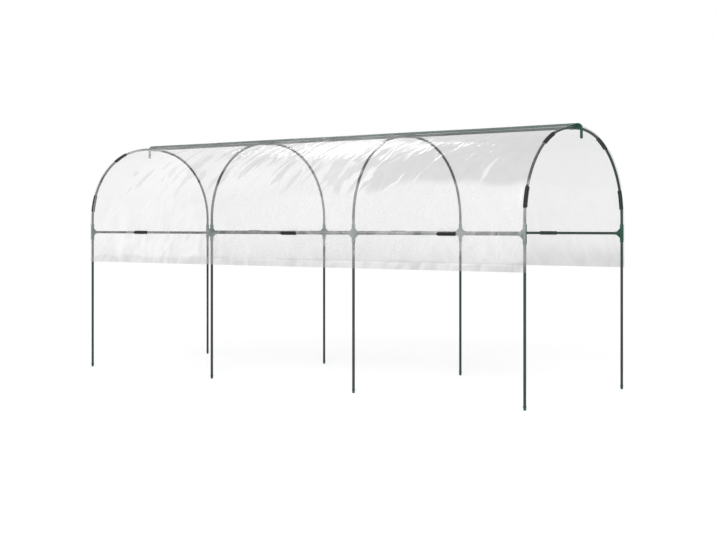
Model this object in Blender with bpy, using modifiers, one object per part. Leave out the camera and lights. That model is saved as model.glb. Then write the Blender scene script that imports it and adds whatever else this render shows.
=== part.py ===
"""Tunnel greenhouse: a push-together tube frame under one clear film cover.

+X runs along the tunnel, +Y across it and +Z up. The origin is on the ground at the
middle of the footprint. The front is the -Y side, and hoops count from -X to +X.
All sizes are in metres.
"""

import math

import bmesh
import bpy
from mathutils import Matrix, Vector

# Layout of the frame
HOOP_COUNT = 4
BAY = 1.010               # from hoop to hoop
HALF_SPAN = 0.493         # from the middle plane to a leg's axis
RAIL_HEIGHT = 0.817       # from the ground to a side rail's axis

# Hoop: upright ends, two shoulders of one radius and a flatter crown between them
UPRIGHT = 0.079           # straight stretch above the rail
SHOULDER_R = 0.437
SHOULDER_TURN = math.radians(75)
SHOULDER_STEPS = 9
CROWN_STEPS = 2           # on each side of the middle

# Tubes, and the gap between pieces that touch
TUBE_R = 0.007
TUBE_WALL = 0.0008
TUBE_RESOLUTION = 3       # ten sides
GAP = 0.0003
WELD = 0.00002            # points closer than this are one point

# Moulded connectors
COLLAR_WALL = 0.0022      # round a leg or a hoop
RAIL_COLLAR_WALL = 0.0019
COLLAR_SIDES = 12
COLLAR_CHAMFER = 0.0008
SIDE_COLLAR = 0.046       # from the rail's axis to the mouth of a leg's socket
CROWN_COLLAR = 0.026      # from the ridge to the end of the sleeve on the hoop
RAIL_COLLAR = 0.034       # from the hoop's axis to the mouth of a rail's socket
STOP = 0.009              # from a connector's middle to the floor of its sockets
WEB_REACH = 0.029         # from the axes to the corners of a web
WEB_CORNER = 0.7          # where its sloping edge meets a collar, as a share of the collar's radius
WEB_THICK = 0.0044
WEB_POCKET = 0.0012       # depth of the recess in each face of a web
WEB_RIM = 0.0032          # width of the raised rim round that recess

# Saddle on a ridge connector, which carries the ridge pole over the hoops
POLE_LIFT = 0.0155        # from a hoop's axis up to the pole's axis
SADDLE_WIDTH = 0.0170
SADDLE_LENGTH = 0.022
SADDLE_GRIP = 0.004       # height of its lips above the bottom of the groove

# Ridge pole: three lengths that plug together, with a hook at each end
POLE_EASE = 0.030         # from a rail's collar to the bend where the pole starts to sink
POLE_JOINT = 0.032        # from a middle hoop to the joint beyond it
SPIGOT_R = 0.0045
SPIGOT_LENGTH = 0.024
HOOK_REACH = 0.029        # from the end hoop's axis to the hook's axis
HOOK_DROP = 0.071         # from the pole's axis to the hook's tip
HOOK_BEND_R = 0.021
HOOK_STEPS = 6

# Foot cap
CAP_HEIGHT = 0.022        # from the ground to the tube's end
CAP_TIP_R = 0.0036
CAP_BULGE = 0.0006        # how far the cap's shoulder stands out from the tube
CAP_RING = 0.0016         # how far its ring stands out from the tube
CAP_RING_HEIGHT = 0.0035
CAP_SPIGOT = 0.016
CAP_SIDES = 10

# Film cover
FILM_THICK = 0.0006
FILM_HEM = 0.178          # from the rail's axis down to the hem
FILM_OVERHANG = 0.011     # past the axis of an end hoop
FILM_SLIT = 0.005         # how far a slit's cutter passes through the film
FILM_SAG = 0.003          # how far it hangs in between two hoops

# Film clips
CLIP_WALL = 0.0014
CLIP_LENGTH = 0.100
CLIP_WRAP = math.radians(122)    # from the middle of its back to a jaw
CLIP_STEPS = 8
CLIP_LIP = 0.0010
CLIP_CUT = 0.00015        # play between a jaw's inside and the film's slit
RAIL_CLIPS = (0.426, 0.566, 0.568)    # place of the clip in each bay, as a share of it
HOOP_CLIPS = {"low": math.radians(12.5), "high": math.radians(60.5)}
CLIPPED_HOOPS = {"front": (1, HOOP_COUNT), "back": (HOOP_COUNT,)}

# Colour, roughness and metallic value of each finish
FINISHES = {
    "coated_tube": ((0.047, 0.074, 0.065, 1.0), 0.42, 0.0),
    "moulded_green": ((0.026, 0.090, 0.058, 1.0), 0.50, 0.0),
    "ridge_green": ((0.016, 0.082, 0.048, 1.0), 0.45, 0.0),
    "clip_black": ((0.012, 0.013, 0.013, 1.0), 0.38, 0.0),
    "cover_film": ((0.86, 0.88, 0.88, 0.35), 0.18, 0.0),
}

# What follows from the sizes above
COLLAR_R = TUBE_R + GAP + COLLAR_WALL
SPRING_Z = RAIL_HEIGHT + UPRIGHT
CROWN_SINK = (HALF_SPAN - SHOULDER_R) / math.cos(SHOULDER_TURN)
CROWN_R = SHOULDER_R + CROWN_SINK
CROWN_Z = SPRING_Z - CROWN_SINK * math.sin(SHOULDER_TURN) + CROWN_R
POLE_LOW = 2 * TUBE_R + GAP
POLE_BEND = RAIL_COLLAR + POLE_EASE
HOOPS = [(i - (HOOP_COUNT - 1) / 2) * BAY for i in range(HOOP_COUNT)]
SIDES = {"front": -1, "back": 1}
CLIP_INNER = TUBE_R + GAP + FILM_THICK + GAP


def clear_scene():
    for thing in list(bpy.data.objects):
        bpy.data.objects.remove(thing, do_unlink=True)


def new_collection(name):
    collection = bpy.data.collections.new(name)
    bpy.context.scene.collection.children.link(collection)
    return collection


def new_finish(name):
    colour, roughness, metallic = FINISHES[name]
    material = bpy.data.materials.new(name)
    material.use_nodes = True
    shader = material.node_tree.nodes["Principled BSDF"]
    shader.inputs["Base Color"].default_value = colour
    shader.inputs["Roughness"].default_value = roughness
    shader.inputs["Metallic"].default_value = metallic
    shader.inputs["Alpha"].default_value = colour[3]
    material.diffuse_color = colour
    return material


def new_object(name, data, collection):
    thing = bpy.data.objects.new(name, data)
    collection.objects.link(thing)
    return thing


def place(name, data, finish, spot=(0, 0, 0), turn=0.0):
    """Add a piece to the greenhouse, turned about Z."""
    piece = new_object(name, data, PARTS)
    piece.location = spot
    piece.rotation_euler = (0, 0, turn)
    piece.data.materials.clear()
    piece.data.materials.append(MATERIALS[finish])
    if isinstance(data, bpy.types.Mesh):
        data.shade_smooth()
        data.set_sharp_from_angle(angle=math.radians(40))
    return piece


def baked(thing):
    """The evaluated mesh of a helper object, which is then removed."""
    bpy.context.view_layer.update()
    graph = bpy.context.evaluated_depsgraph_get()
    mesh = bpy.data.meshes.new_from_object(thing.evaluated_get(graph))
    bpy.data.objects.remove(thing, do_unlink=True)
    return mesh


def mesh_from(bm, name):
    mesh = bpy.data.meshes.new(name)
    bm.to_mesh(mesh)
    bm.free()
    return mesh


def solid_from(bm, name):
    """A mesh whose faces all point out."""
    bmesh.ops.recalc_face_normals(bm, faces=bm.faces)
    return mesh_from(bm, name)


def helper(bm, name):
    """An object that shapes a piece and is no piece itself."""
    thing = new_object(name, solid_from(bm, name), CUTTERS)
    thing.hide_render = True
    thing.display_type = "WIRE"
    return thing


def boolean(thing, operation, tools):
    """Join every tool to a solid, or cut them all from it."""
    group = bpy.data.collections.new(f"{thing.name} {operation.lower()}")
    CUTTERS.children.link(group)
    for tool in tools:
        CUTTERS.objects.unlink(tool)
        group.objects.link(tool)
    step = thing.modifiers.new(operation.title(), "BOOLEAN")
    step.operation = operation
    step.solver = "EXACT"
    step.operand_type = "COLLECTION"
    step.collection = group
    return group


def combine(base, joined, cut):
    """The mesh of a base with some solids joined to it and others cut from it."""
    groups = [
        boolean(base, operation, tools)
        for operation, tools in (("UNION", joined), ("DIFFERENCE", cut)) if tools
    ]
    mesh = baked(base)
    for group in groups:
        for tool in list(group.objects):
            bpy.data.objects.remove(tool, do_unlink=True)
        bpy.data.collections.remove(group)
    bm = bmesh.new()
    bm.from_mesh(mesh)
    bmesh.ops.remove_doubles(bm, verts=bm.verts, dist=WELD)
    bmesh.ops.dissolve_degenerate(bm, edges=bm.edges, dist=WELD)
    bm.to_mesh(mesh)
    bm.free()
    return mesh


def cylinder(name, radius, start, end, sides=COLLAR_SIDES, chamfer=0.0):
    """A round bar from one point to another, flat on four sides, with its end edges chamfered."""
    start = Vector(start)
    run = Vector(end) - start
    bm = bmesh.new()
    bmesh.ops.create_cone(
        bm, cap_ends=True, segments=sides, radius1=radius, radius2=radius, depth=run.length
    )
    if chamfer:
        rims = [edge for edge in bm.edges if abs(edge.verts[0].co.z - edge.verts[1].co.z) < chamfer]
        bmesh.ops.bevel(
            bm, geom=rims, offset=chamfer, segments=1, profile=0.5, affect="EDGES", material=-1
        )
    turn = run.to_track_quat("Z", "Y").to_matrix().to_4x4() @ Matrix.Rotation(math.pi / sides, 4, "Z")
    bmesh.ops.transform(bm, matrix=Matrix.Translation(start + run / 2) @ turn, verts=bm.verts)
    return helper(bm, name)


def block(name, low, high):
    low = Vector(low)
    high = Vector(high)
    bm = bmesh.new()
    bmesh.ops.create_cube(bm, size=1.0)
    bmesh.ops.scale(bm, vec=high - low, verts=bm.verts)
    bmesh.ops.translate(bm, vec=(low + high) / 2, verts=bm.verts)
    return helper(bm, name)


def prism(name, outline, low, high):
    """An outline in X and Z, pushed out along Y."""
    bm = bmesh.new()
    face = bm.faces.new([bm.verts.new((x, low, z)) for x, z in outline])
    grown = bmesh.ops.extrude_face_region(bm, geom=[face])
    moved = [item for item in grown["geom"] if isinstance(item, bmesh.types.BMVert)]
    bmesh.ops.translate(bm, vec=(0, high - low, 0), verts=moved)
    return helper(bm, name)


def curve(name, points, radius, capped=False):
    """A poly curve through points, with a round section."""
    data = bpy.data.curves.new(name, "CURVE")
    data.dimensions = "3D"
    data.bevel_depth = radius
    data.bevel_resolution = TUBE_RESOLUTION
    data.use_fill_caps = capped
    spline = data.splines.new("POLY")
    spline.points.add(len(points) - 1)
    for knot, point in zip(spline.points, points):
        knot.co = (*point, 1.0)
    return data


def tube_mesh(name, points):
    """A hollow tube with open ends."""
    thing = new_object(name, curve(name, points, TUBE_R), CUTTERS)
    wall = thing.modifiers.new("Wall", "SOLIDIFY")
    wall.thickness = TUBE_WALL
    wall.offset = -1.0
    return baked(thing)


def bar(name, points, radius):
    """A solid round bar along points, as a mesh object."""
    mesh = baked(new_object(name, curve(name, points, radius, capped=True), CUTTERS))
    bm = bmesh.new()
    bm.from_mesh(mesh)
    bpy.data.meshes.remove(mesh)
    bmesh.ops.remove_doubles(bm, verts=bm.verts, dist=WELD)
    return helper(bm, name)


def bore_radius():
    """Radius whose flat sides still clear a tube."""
    return (TUBE_R + GAP) / math.cos(math.pi / COLLAR_SIDES)


def hoop_point(turn, out=0.0):
    """Y and Z of the hoop at a turn from 0, front, to pi, back, and out from its axis."""
    if turn > math.pi / 2:
        y, z = hoop_point(math.pi - turn, out)
        return -y, z
    if turn <= SHOULDER_TURN:
        centre = (-HALF_SPAN + SHOULDER_R, SPRING_Z)
        radius = SHOULDER_R + out
    else:
        centre = (0.0, CROWN_Z - CROWN_R)
        radius = CROWN_R + out
    return centre[0] - radius * math.cos(turn), centre[1] + radius * math.sin(turn)


def shoulder_turns():
    return [SHOULDER_TURN * i / SHOULDER_STEPS for i in range(SHOULDER_STEPS + 1)]


def hoop_turns():
    """Turns at which the hoop has a bend."""
    crown = math.pi / 2 - SHOULDER_TURN
    half = shoulder_turns() + [SHOULDER_TURN + crown * i / CROWN_STEPS for i in range(1, CROWN_STEPS)]
    return half + [math.pi / 2] + [math.pi - turn for turn in reversed(half)]


def hoop_path():
    """The hoop's axis from the floor of one socket to the floor of the other."""
    foot = RAIL_HEIGHT + STOP + GAP
    path = [(0.0, *hoop_point(turn)) for turn in hoop_turns()]
    return [(0.0, -HALF_SPAN, foot)] + path + [(0.0, HALF_SPAN, foot)]


def foot_cap_mesh():
    """A blunt tip with a ring under the tube's end and a spigot inside the tube."""
    ring = TUBE_R + CAP_RING
    shoulder = TUBE_R + CAP_BULGE
    spigot = (TUBE_R - TUBE_WALL) * math.cos(math.pi / CAP_SIDES) - GAP
    neck = CAP_HEIGHT - CAP_RING_HEIGHT
    profile = [
        (0.0, CAP_HEIGHT + CAP_SPIGOT),
        (spigot * 0.8, CAP_HEIGHT + CAP_SPIGOT),
        (spigot, CAP_HEIGHT + CAP_SPIGOT * 0.85),
        (spigot, CAP_HEIGHT),
        (ring, CAP_HEIGHT),
        (ring, neck),
        (shoulder, neck),
        (shoulder * 0.94, neck * 0.62),
        ((shoulder + CAP_TIP_R) * 0.56, neck * 0.20),
        (CAP_TIP_R, 0.0),
        (0.0, 0.0),
    ]
    bm = bmesh.new()
    points = [bm.verts.new((radius, 0, height)) for radius, height in profile]
    for upper, lower in zip(points, points[1:]):
        bm.edges.new((upper, lower))
    thing = new_object("Foot cap", mesh_from(bm, "Foot cap"), CUTTERS)
    turn = thing.modifiers.new("Turn", "SCREW")
    turn.steps = CAP_SIDES
    turn.render_steps = CAP_SIDES
    turn.use_merge_vertices = True
    turn.merge_threshold = 0.00001
    return baked(thing)


def rail_collar(arms):
    """One collar for the rails, from the connector's middle or right through it."""
    start = (RAIL_COLLAR * min(0, *arms), 0, 0)
    radius = TUBE_R + GAP + RAIL_COLLAR_WALL
    return cylinder("Rail collar", radius, start, (RAIL_COLLAR, 0, 0), chamfer=COLLAR_CHAMFER)


def web_plate(arms):
    """The plate whose corners make the webs between a leg's collar and the rails' collar."""
    corner = WEB_CORNER * COLLAR_R
    outline = [(corner, -WEB_REACH), (WEB_REACH, -corner), (WEB_REACH, corner), (corner, WEB_REACH)]
    if -1 in arms:
        outline += [(-x, -z) for x, z in outline]
    else:
        outline += [(0, WEB_REACH), (0, -WEB_REACH)]
    return prism("Web", outline, -WEB_THICK / 2, WEB_THICK / 2)


def web_pockets(arm, up):
    """The recess in each face of one web, a rim's width inside the sloping edge."""
    inner = COLLAR_R + WEB_RIM / 2
    reach = WEB_REACH + WEB_CORNER * COLLAR_R - WEB_RIM * math.sqrt(2)
    outline = [(inner, inner), (reach - inner, inner), (inner, reach - inner)]
    outline = [(arm * x, up * z) for x, z in outline]
    middle = WEB_THICK / 2
    return [
        prism("Pocket", outline, side * middle - WEB_POCKET, side * middle + WEB_POCKET)
        for side in (-1, 1)
    ]


def side_connector_mesh(arms):
    """A moulded joint on a leg, with a socket for each rail and webs between them."""
    base = cylinder("Leg collar", COLLAR_R, (0, 0, -SIDE_COLLAR), (0, 0, SIDE_COLLAR), chamfer=COLLAR_CHAMFER)
    joined = [rail_collar(arms), web_plate(arms)]
    cut = []
    bore = bore_radius()
    for arm in arms:
        cut.append(cylinder("Rail socket", bore, (arm * STOP, 0, 0), (arm * (RAIL_COLLAR + GAP * 10), 0, 0)))
        for up in (-1, 1):
            cut += web_pockets(arm, up)
    for up in (-1, 1):
        cut.append(cylinder("Leg socket", bore, (0, 0, up * STOP), (0, 0, up * (SIDE_COLLAR + GAP * 10))))
    return combine(base, joined, cut)


def ridge_connector_mesh(arms):
    """A sleeve on the hoop's crown, with a socket for each ridge rail and a saddle on top."""
    base = cylinder(
        "Hoop sleeve", COLLAR_R, (0, -CROWN_COLLAR, 0), (0, CROWN_COLLAR, 0), chamfer=COLLAR_CHAMFER
    )
    saddle = block(
        "Saddle",
        (-SADDLE_LENGTH / 2, -SADDLE_WIDTH / 2, 0),
        (SADDLE_LENGTH / 2, SADDLE_WIDTH / 2, POLE_LIFT - TUBE_R - GAP + SADDLE_GRIP),
    )
    bore = bore_radius()
    groove_end = RAIL_COLLAR + GAP * 10
    hoop = [(0.0, y, z - CROWN_Z) for x, y, z in hoop_path() if z > SPRING_Z]
    cut = [
        bar("Hoop bore", hoop, bore),
        cylinder("Groove", bore, (-groove_end, 0, POLE_LIFT), (groove_end, 0, POLE_LIFT)),
    ]
    for arm in arms:
        start = arm * ridge_stop()
        cut.append(cylinder("Rail socket", bore, (start, 0, 0), (arm * (RAIL_COLLAR + GAP * 10), 0, 0)))
    return combine(base, [rail_collar(arms), saddle], cut)


def ridge_stop():
    """From the hoop's axis to the floor of a ridge socket, clear of the hoop's bore."""
    return bore_radius() + COLLAR_WALL


def straight_mesh(name, length, axis):
    """A straight tube of a length from the origin."""
    return tube_mesh(name, [(0, 0, 0), tuple(Vector(axis) * length)])


def clip_outline():
    """A C in X and Y that opens towards -Y, with lips turned out at its jaws."""
    inner = CLIP_INNER
    outer = inner + CLIP_WALL
    turns = [CLIP_WRAP * (2 * i / CLIP_STEPS - 1) for i in range(CLIP_STEPS + 1)]
    inner_r = inner / math.cos(CLIP_WRAP / CLIP_STEPS)
    back = [(outer * math.sin(turn), outer * math.cos(turn)) for turn in turns]
    front = [(inner_r * math.sin(turn), inner_r * math.cos(turn)) for turn in reversed(turns)]
    drop = outer * math.cos(CLIP_WRAP) - 2 * CLIP_LIP
    jaw = outer * math.sin(CLIP_WRAP) + CLIP_LIP
    right = [(jaw, drop), (jaw - CLIP_WALL, drop)]
    left = [(CLIP_WALL - jaw, drop), (-jaw, drop)]
    return back + right + front + left


def station(origin, out, along):
    """A frame at a point of a path: its Y points out of the tunnel and its Z along the path."""
    out = Vector(out)
    along = Vector(along)
    turn = Matrix((out.cross(along), out, along)).transposed().to_4x4()
    return Matrix.Translation(origin) @ turn


def sweep(outline, stations):
    """A solid made by pushing an outline from station to station."""
    bm = bmesh.new()
    corners = [bm.verts.new((x, y, 0)) for x, y in outline]
    face = bm.faces.new(corners)
    bmesh.ops.transform(bm, matrix=stations[0], verts=corners)
    first = face
    for before, after in zip(stations, stations[1:]):
        grown = bmesh.ops.extrude_face_region(bm, geom=[face])["geom"]
        if face.is_valid and face is not first:
            bmesh.ops.delete(bm, geom=[face], context="FACES_ONLY")
        corners = [item for item in grown if isinstance(item, bmesh.types.BMVert)]
        face = next(item for item in grown if isinstance(item, bmesh.types.BMFace))
        bmesh.ops.transform(bm, matrix=after @ before.inverted(), verts=corners)
    return bm


def rail_stations(side, spare):
    """Ends of a clip on a rail, about the clip's middle."""
    half = CLIP_LENGTH / 2 + spare
    return [station((x, 0, 0), (0, side, 0), (1, 0, 0)) for x in (-half, half)]


def hoop_stations(middle, side, spare):
    """Places of a clip along the hoop's facets, about the hoop's own plane."""
    half = (CLIP_LENGTH / 2 + spare) / SHOULDER_R
    bends = shoulder_turns()
    turns = [middle - half] + [turn for turn in bends if abs(turn - middle) < half] + [middle + half]
    places = []
    for turn in turns:
        step = min(int(turn / SHOULDER_TURN * SHOULDER_STEPS), SHOULDER_STEPS - 1)
        first, last = bends[step], bends[step + 1]
        share = (turn - first) / (last - first)
        facing = turn if turn in bends else (first + last) / 2
        y, z = (a + share * (b - a) for a, b in zip(hoop_point(first), hoop_point(last)))
        out = (0, side * math.cos(facing), math.sin(facing))
        along = (0, -side * math.sin(facing), math.cos(facing))
        places.append(station((0, -side * y, z), out, along))
    return places


def clip_mesh(stations):
    return solid_from(sweep(clip_outline(), stations), "Clip")


def clip_cutters(stations, spot):
    """Two straight bars that cut the slits in which a clip's jaws pass the film."""
    near = TUBE_R + GAP
    far = near + FILM_THICK
    first = math.sqrt((CLIP_INNER - CLIP_CUT) ** 2 - far ** 2)
    last = math.sqrt((CLIP_INNER + CLIP_WALL + GAP) ** 2 - near ** 2)
    low = near - FILM_SLIT
    high = far + FILM_SLIT
    cutters = []
    for way in (-1, 1):
        outline = [(way * first, low), (way * last, low), (way * last, high), (way * first, high)]
        cutter = helper(sweep(outline, [stations[0], stations[-1]]), "Clip slit")
        cutter.location = spot
        cutters.append(cutter)
    return cutters


def pole_height(x):
    """Height of the ridge pole's axis: on the saddles, and down on a ridge rail at mid-bay."""
    away = min(abs(x - hoop) for hoop in HOOPS) if abs(x) < HOOPS[-1] else 0.0
    share = max(0.0, away - POLE_BEND) / (BAY / 2 - POLE_BEND)
    return CROWN_Z + POLE_LIFT + (POLE_LOW - POLE_LIFT) * share


def pole_bends(hoop):
    """The pole's three bends in the bay that starts at a hoop."""
    return [(x, 0.0, pole_height(x)) for x in (hoop + POLE_BEND, hoop + BAY / 2, hoop + BAY - POLE_BEND)]


def pole_end_mesh():
    """The length of pole over the last bay, with its hook, about the last hoop's foot."""
    top = CROWN_Z + POLE_LIFT
    joint = HOOPS[-2] + POLE_JOINT + GAP
    bend = HOOPS[-1] + HOOK_REACH - HOOK_BEND_R
    points = [(joint, 0.0, top)] + pole_bends(HOOPS[-2])
    for i in range(HOOK_STEPS + 1):
        turn = math.pi / 2 * i / HOOK_STEPS
        points.append((bend + HOOK_BEND_R * math.sin(turn), 0.0, top - HOOK_BEND_R * (1 - math.cos(turn))))
    points.append((HOOPS[-1] + HOOK_REACH, 0.0, top - HOOK_DROP))
    depth = SPIGOT_LENGTH + GAP
    bore = (SPIGOT_R + GAP) / math.cos(math.pi / COLLAR_SIDES)
    socket = cylinder("Pole socket", bore, (joint - GAP * 10, 0, top), (joint + depth, 0, top))
    return combine(bar("Pole end", points, TUBE_R), [], [socket])


def pole_middle_mesh():
    """The length of pole over the middle bays, with a spigot at each end."""
    top = CROWN_Z + POLE_LIFT
    joint = HOOPS[-2] + POLE_JOINT
    points = [(-joint, 0.0, top)]
    for hoop in HOOPS[1:-2]:
        points.extend(pole_bends(hoop))
    points.append((joint, 0.0, top))
    spigots = [
        cylinder("Spigot", SPIGOT_R, (side * (joint - SPIGOT_LENGTH), 0, top),
                 (side * (joint + SPIGOT_LENGTH), 0, top), chamfer=COLLAR_CHAMFER)
        for side in (-1, 1)
    ]
    return combine(bar("Pole middle", points, TUBE_R), spigots, [])


def film_rows():
    """Rows of the film from the front hem to the ridge: what each follows, and where."""
    rows = [("wall", RAIL_HEIGHT + reach) for reach in (-FILM_HEM, SIDE_COLLAR + GAP)]
    rows.extend(("hoop", turn) for turn in shoulder_turns())
    return rows + [("ridge", 0.0)]


def film_columns():
    """Stations of the film along the tunnel, each with whether it lies over a connector."""
    collar = RAIL_COLLAR + GAP
    columns = [(HOOPS[0] - FILM_OVERHANG, True)]
    for hoop in HOOPS:
        if hoop != HOOPS[0]:
            columns += [(hoop - BAY / 2, False), (hoop - POLE_BEND, False), (hoop - collar, True)]
        if hoop != HOOPS[-1]:
            columns += [(hoop + collar, True), (hoop + POLE_BEND, False)]
    return columns + [(HOOPS[-1] + FILM_OVERHANG, True)]


def film_point(row, column):
    """A point of the film's inner face on the front half."""
    kind, value = row
    x, over_collar = column
    snug = TUBE_R + GAP
    if kind == "wall":
        return x, -HALF_SPAN - (COLLAR_R + GAP if over_collar else snug), value
    if kind == "hoop":
        middle_of_bay = min(abs(x - hoop) for hoop in HOOPS) > BAY / 2 - GAP
        sag = FILM_SAG * math.sin(value) if middle_of_bay else 0.0
        return (x, *hoop_point(value, snug - sag))
    # The slope from the pole down to a hoop, which touches both, fixes the film's peak
    slope = math.acos(CROWN_R / (CROWN_R + POLE_LIFT))
    return x, 0.0, pole_height(x) + snug / math.cos(slope)


def film_mesh():
    """The cover's inner face, from hem to hem over the pole."""
    sections = []
    # From the far end to the near one, so that the grid's faces point out
    for column in reversed(film_columns()):
        front = [Vector(film_point(row, column)) for row in film_rows()]
        back = [Vector((p.x, -p.y, p.z)) for p in reversed(front[:-1])]
        sections.append(front + back)
    bm = bmesh.new()
    bmesh.ops.create_grid(bm, x_segments=len(sections[0]) - 1, y_segments=len(sections) - 1, size=1.0)
    bm.verts.ensure_lookup_table()
    for number, vertex in enumerate(bm.verts):
        column, row = divmod(number, len(sections[0]))
        vertex.co = sections[column][row]
    return mesh_from(bm, "Film")


def build_film(clip_places):
    cover = place("film_cover", film_mesh(), "cover_film")
    wall = cover.modifiers.new("Thickness", "SOLIDIFY")
    wall.thickness = FILM_THICK
    wall.offset = 1.0
    slits = [cutter for stations, spot in clip_places for cutter in clip_cutters(stations, spot)]
    boolean(cover, "DIFFERENCE", slits)


def build_legs():
    foot = foot_cap_mesh()
    start = CAP_HEIGHT + GAP
    leg = straight_mesh("Leg", RAIL_HEIGHT - STOP - GAP - start, (0, 0, 1))
    for number, x in enumerate(HOOPS, 1):
        for word, side in SIDES.items():
            y = side * HALF_SPAN
            place(f"foot_cap_{word}_{number}", foot, "moulded_green", (x, y, 0))
            place(f"leg_{word}_{number}", leg, "coated_tube", (x, y, start))


def build_connectors():
    last = len(HOOPS)
    side_end = side_connector_mesh([1])
    side_middle = side_connector_mesh([-1, 1])
    ridge_end = ridge_connector_mesh([1])
    ridge_middle = ridge_connector_mesh([-1, 1])
    for number, x in enumerate(HOOPS, 1):
        at_end = number in (1, last)
        turn = math.pi if number == last else 0.0
        for word, side in SIDES.items():
            spot = (x, side * HALF_SPAN, RAIL_HEIGHT)
            mesh = side_end if at_end else side_middle
            place(f"side_connector_{word}_{number}", mesh, "moulded_green", spot, turn)
        mesh = ridge_end if at_end else ridge_middle
        place(f"ridge_connector_{number}", mesh, "moulded_green", (x, 0, CROWN_Z), turn)


def build_hoops_and_rails():
    hoop = tube_mesh("Hoop", hoop_path())
    inset = STOP + GAP
    rail = straight_mesh("Rail", BAY - 2 * inset, (1, 0, 0))
    ridge_inset = ridge_stop() + GAP
    ridge = straight_mesh("Ridge rail", BAY - 2 * ridge_inset, (1, 0, 0))
    for number, x in enumerate(HOOPS, 1):
        place(f"hoop_{number}", hoop, "coated_tube", (x, 0, 0))
    for number, x in enumerate(HOOPS[:-1], 1):
        for word, side in SIDES.items():
            spot = (x + inset, side * HALF_SPAN, RAIL_HEIGHT)
            place(f"side_rail_{word}_{number}", rail, "coated_tube", spot)
        place(f"ridge_rail_{number}", ridge, "coated_tube", (x + ridge_inset, 0, CROWN_Z))


def build_pole():
    end = pole_end_mesh()
    place("ridge_pole_end_1", end, "ridge_green", turn=math.pi)
    place("ridge_pole_middle", pole_middle_mesh(), "ridge_green")
    place("ridge_pole_end_2", end, "ridge_green")


def build_clips():
    """Add every clip, and return where the film has to make room for one."""
    places = []
    for word, side in SIDES.items():
        mesh = clip_mesh(rail_stations(side, 0.0))
        for number, (hoop, share) in enumerate(zip(HOOPS[:-1], RAIL_CLIPS), 1):
            spot = (hoop + BAY * share, side * HALF_SPAN, RAIL_HEIGHT)
            place(f"rail_clip_{word}_{number}", mesh, "clip_black", spot)
            places.append((rail_stations(side, GAP), spot))
        for level, middle in HOOP_CLIPS.items():
            mesh = clip_mesh(hoop_stations(middle, side, 0.0))
            for number in CLIPPED_HOOPS[word]:
                spot = (HOOPS[number - 1], 0, 0)
                place(f"hoop_clip_{word}_{level}_{number}", mesh, "clip_black", spot)
                places.append((hoop_stations(middle, side, GAP), spot))
    return places


clear_scene()
PARTS = new_collection("Tunnel greenhouse")
CUTTERS = new_collection("Cutters")
MATERIALS = {name: new_finish(name) for name in FINISHES}
build_legs()
build_connectors()
build_hoops_and_rails()
build_pole()
build_film(build_clips())
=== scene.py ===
"""Looks of the tunnel greenhouse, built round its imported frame.

+X runs along the tunnel, +Y across it from the front to the back and +Z up, in metres.
"""

import math

import bmesh
import bpy
import numpy as np
from bpy.props import FloatProperty, FloatVectorProperty, IntProperty, PointerProperty
from mathutils import Matrix, Vector


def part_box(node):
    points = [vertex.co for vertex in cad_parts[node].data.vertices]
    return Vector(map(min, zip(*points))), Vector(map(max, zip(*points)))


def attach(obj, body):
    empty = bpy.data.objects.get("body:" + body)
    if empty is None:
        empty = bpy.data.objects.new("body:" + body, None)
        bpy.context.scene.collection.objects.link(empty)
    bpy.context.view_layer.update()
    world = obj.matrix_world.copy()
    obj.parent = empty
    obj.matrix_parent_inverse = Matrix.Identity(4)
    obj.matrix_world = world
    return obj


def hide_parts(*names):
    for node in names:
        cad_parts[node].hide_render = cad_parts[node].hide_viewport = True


bl_info = {
    "name": "Tunnel Greenhouse",
    "version": (1, 0, 0),
    "blender": (4, 5, 0),
    "location": "View3D > Sidebar > Greenhouse",
    "description": "Dresses the tunnel greenhouse's frame with tubes, fittings, clips and a clear cover",
    "category": "Object",
}

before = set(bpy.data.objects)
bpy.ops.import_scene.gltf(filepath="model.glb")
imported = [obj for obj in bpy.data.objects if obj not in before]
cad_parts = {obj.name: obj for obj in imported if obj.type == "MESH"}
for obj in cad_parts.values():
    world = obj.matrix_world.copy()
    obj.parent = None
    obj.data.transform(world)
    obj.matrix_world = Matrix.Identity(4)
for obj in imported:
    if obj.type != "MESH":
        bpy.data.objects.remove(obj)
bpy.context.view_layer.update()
BODY = "root"

# What the frame's own nodes say
HOOP_COUNT = sum(name.startswith("leg_front_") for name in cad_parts)
HOOPS = [sum(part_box(f"leg_front_{n + 1}"), Vector()).x / 2 for n in range(HOOP_COUNT)]
BAY = HOOPS[1] - HOOPS[0]
SIDES = {"front": -1, "back": 1}
HALF_SPAN = -sum(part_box("leg_front_1"), Vector()).y / 2
RAIL_HEIGHT = sum(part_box("side_rail_front_1"), Vector()).z / 2
RIDGE = sum(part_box("ridge_rail_1"), Vector()).z / 2
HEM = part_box("film_cover")[0].z

# The same sizes as the frame's solids have
GAP = 0.0003
TUBE_R = 0.007
UPRIGHT = 0.079
SHOULDER_R = 0.437
SHOULDER_TURN = math.radians(75)
STOP = 0.009
COLLAR_R = 0.0095
RAIL_COLLAR_R = 0.0092
SIDE_COLLAR = 0.046
RAIL_COLLAR = 0.034
CROWN_COLLAR = 0.026
WEB_REACH = 0.029
WEB_CORNER = 0.7
WEB_THICK = 0.0044
WEB_RIM = 0.0032
WEB_POCKET = 0.0012
WEB_ROUNDING = 0.7    # of the edge of the other mouldings
SADDLE_WIDTH = 0.0170
SADDLE_LENGTH = 0.022
SADDLE_GRIP = 0.004
POLE_LIFT = 0.0155
POLE_LOW = 2 * TUBE_R + GAP
POLE_BEND = RAIL_COLLAR + 0.030
POLE_JOINT = 0.032
SPIGOT_R = 0.0045
HOOK_REACH = 0.029
HOOK_DROP = 0.071
HOOK_BEND_R = 0.021
CAP_HEIGHT = 0.022
CAP_TIP_R = 0.0036
CAP_BULGE = 0.0006
CAP_RING = 0.0016
CAP_RING_HEIGHT = 0.0035
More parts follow.
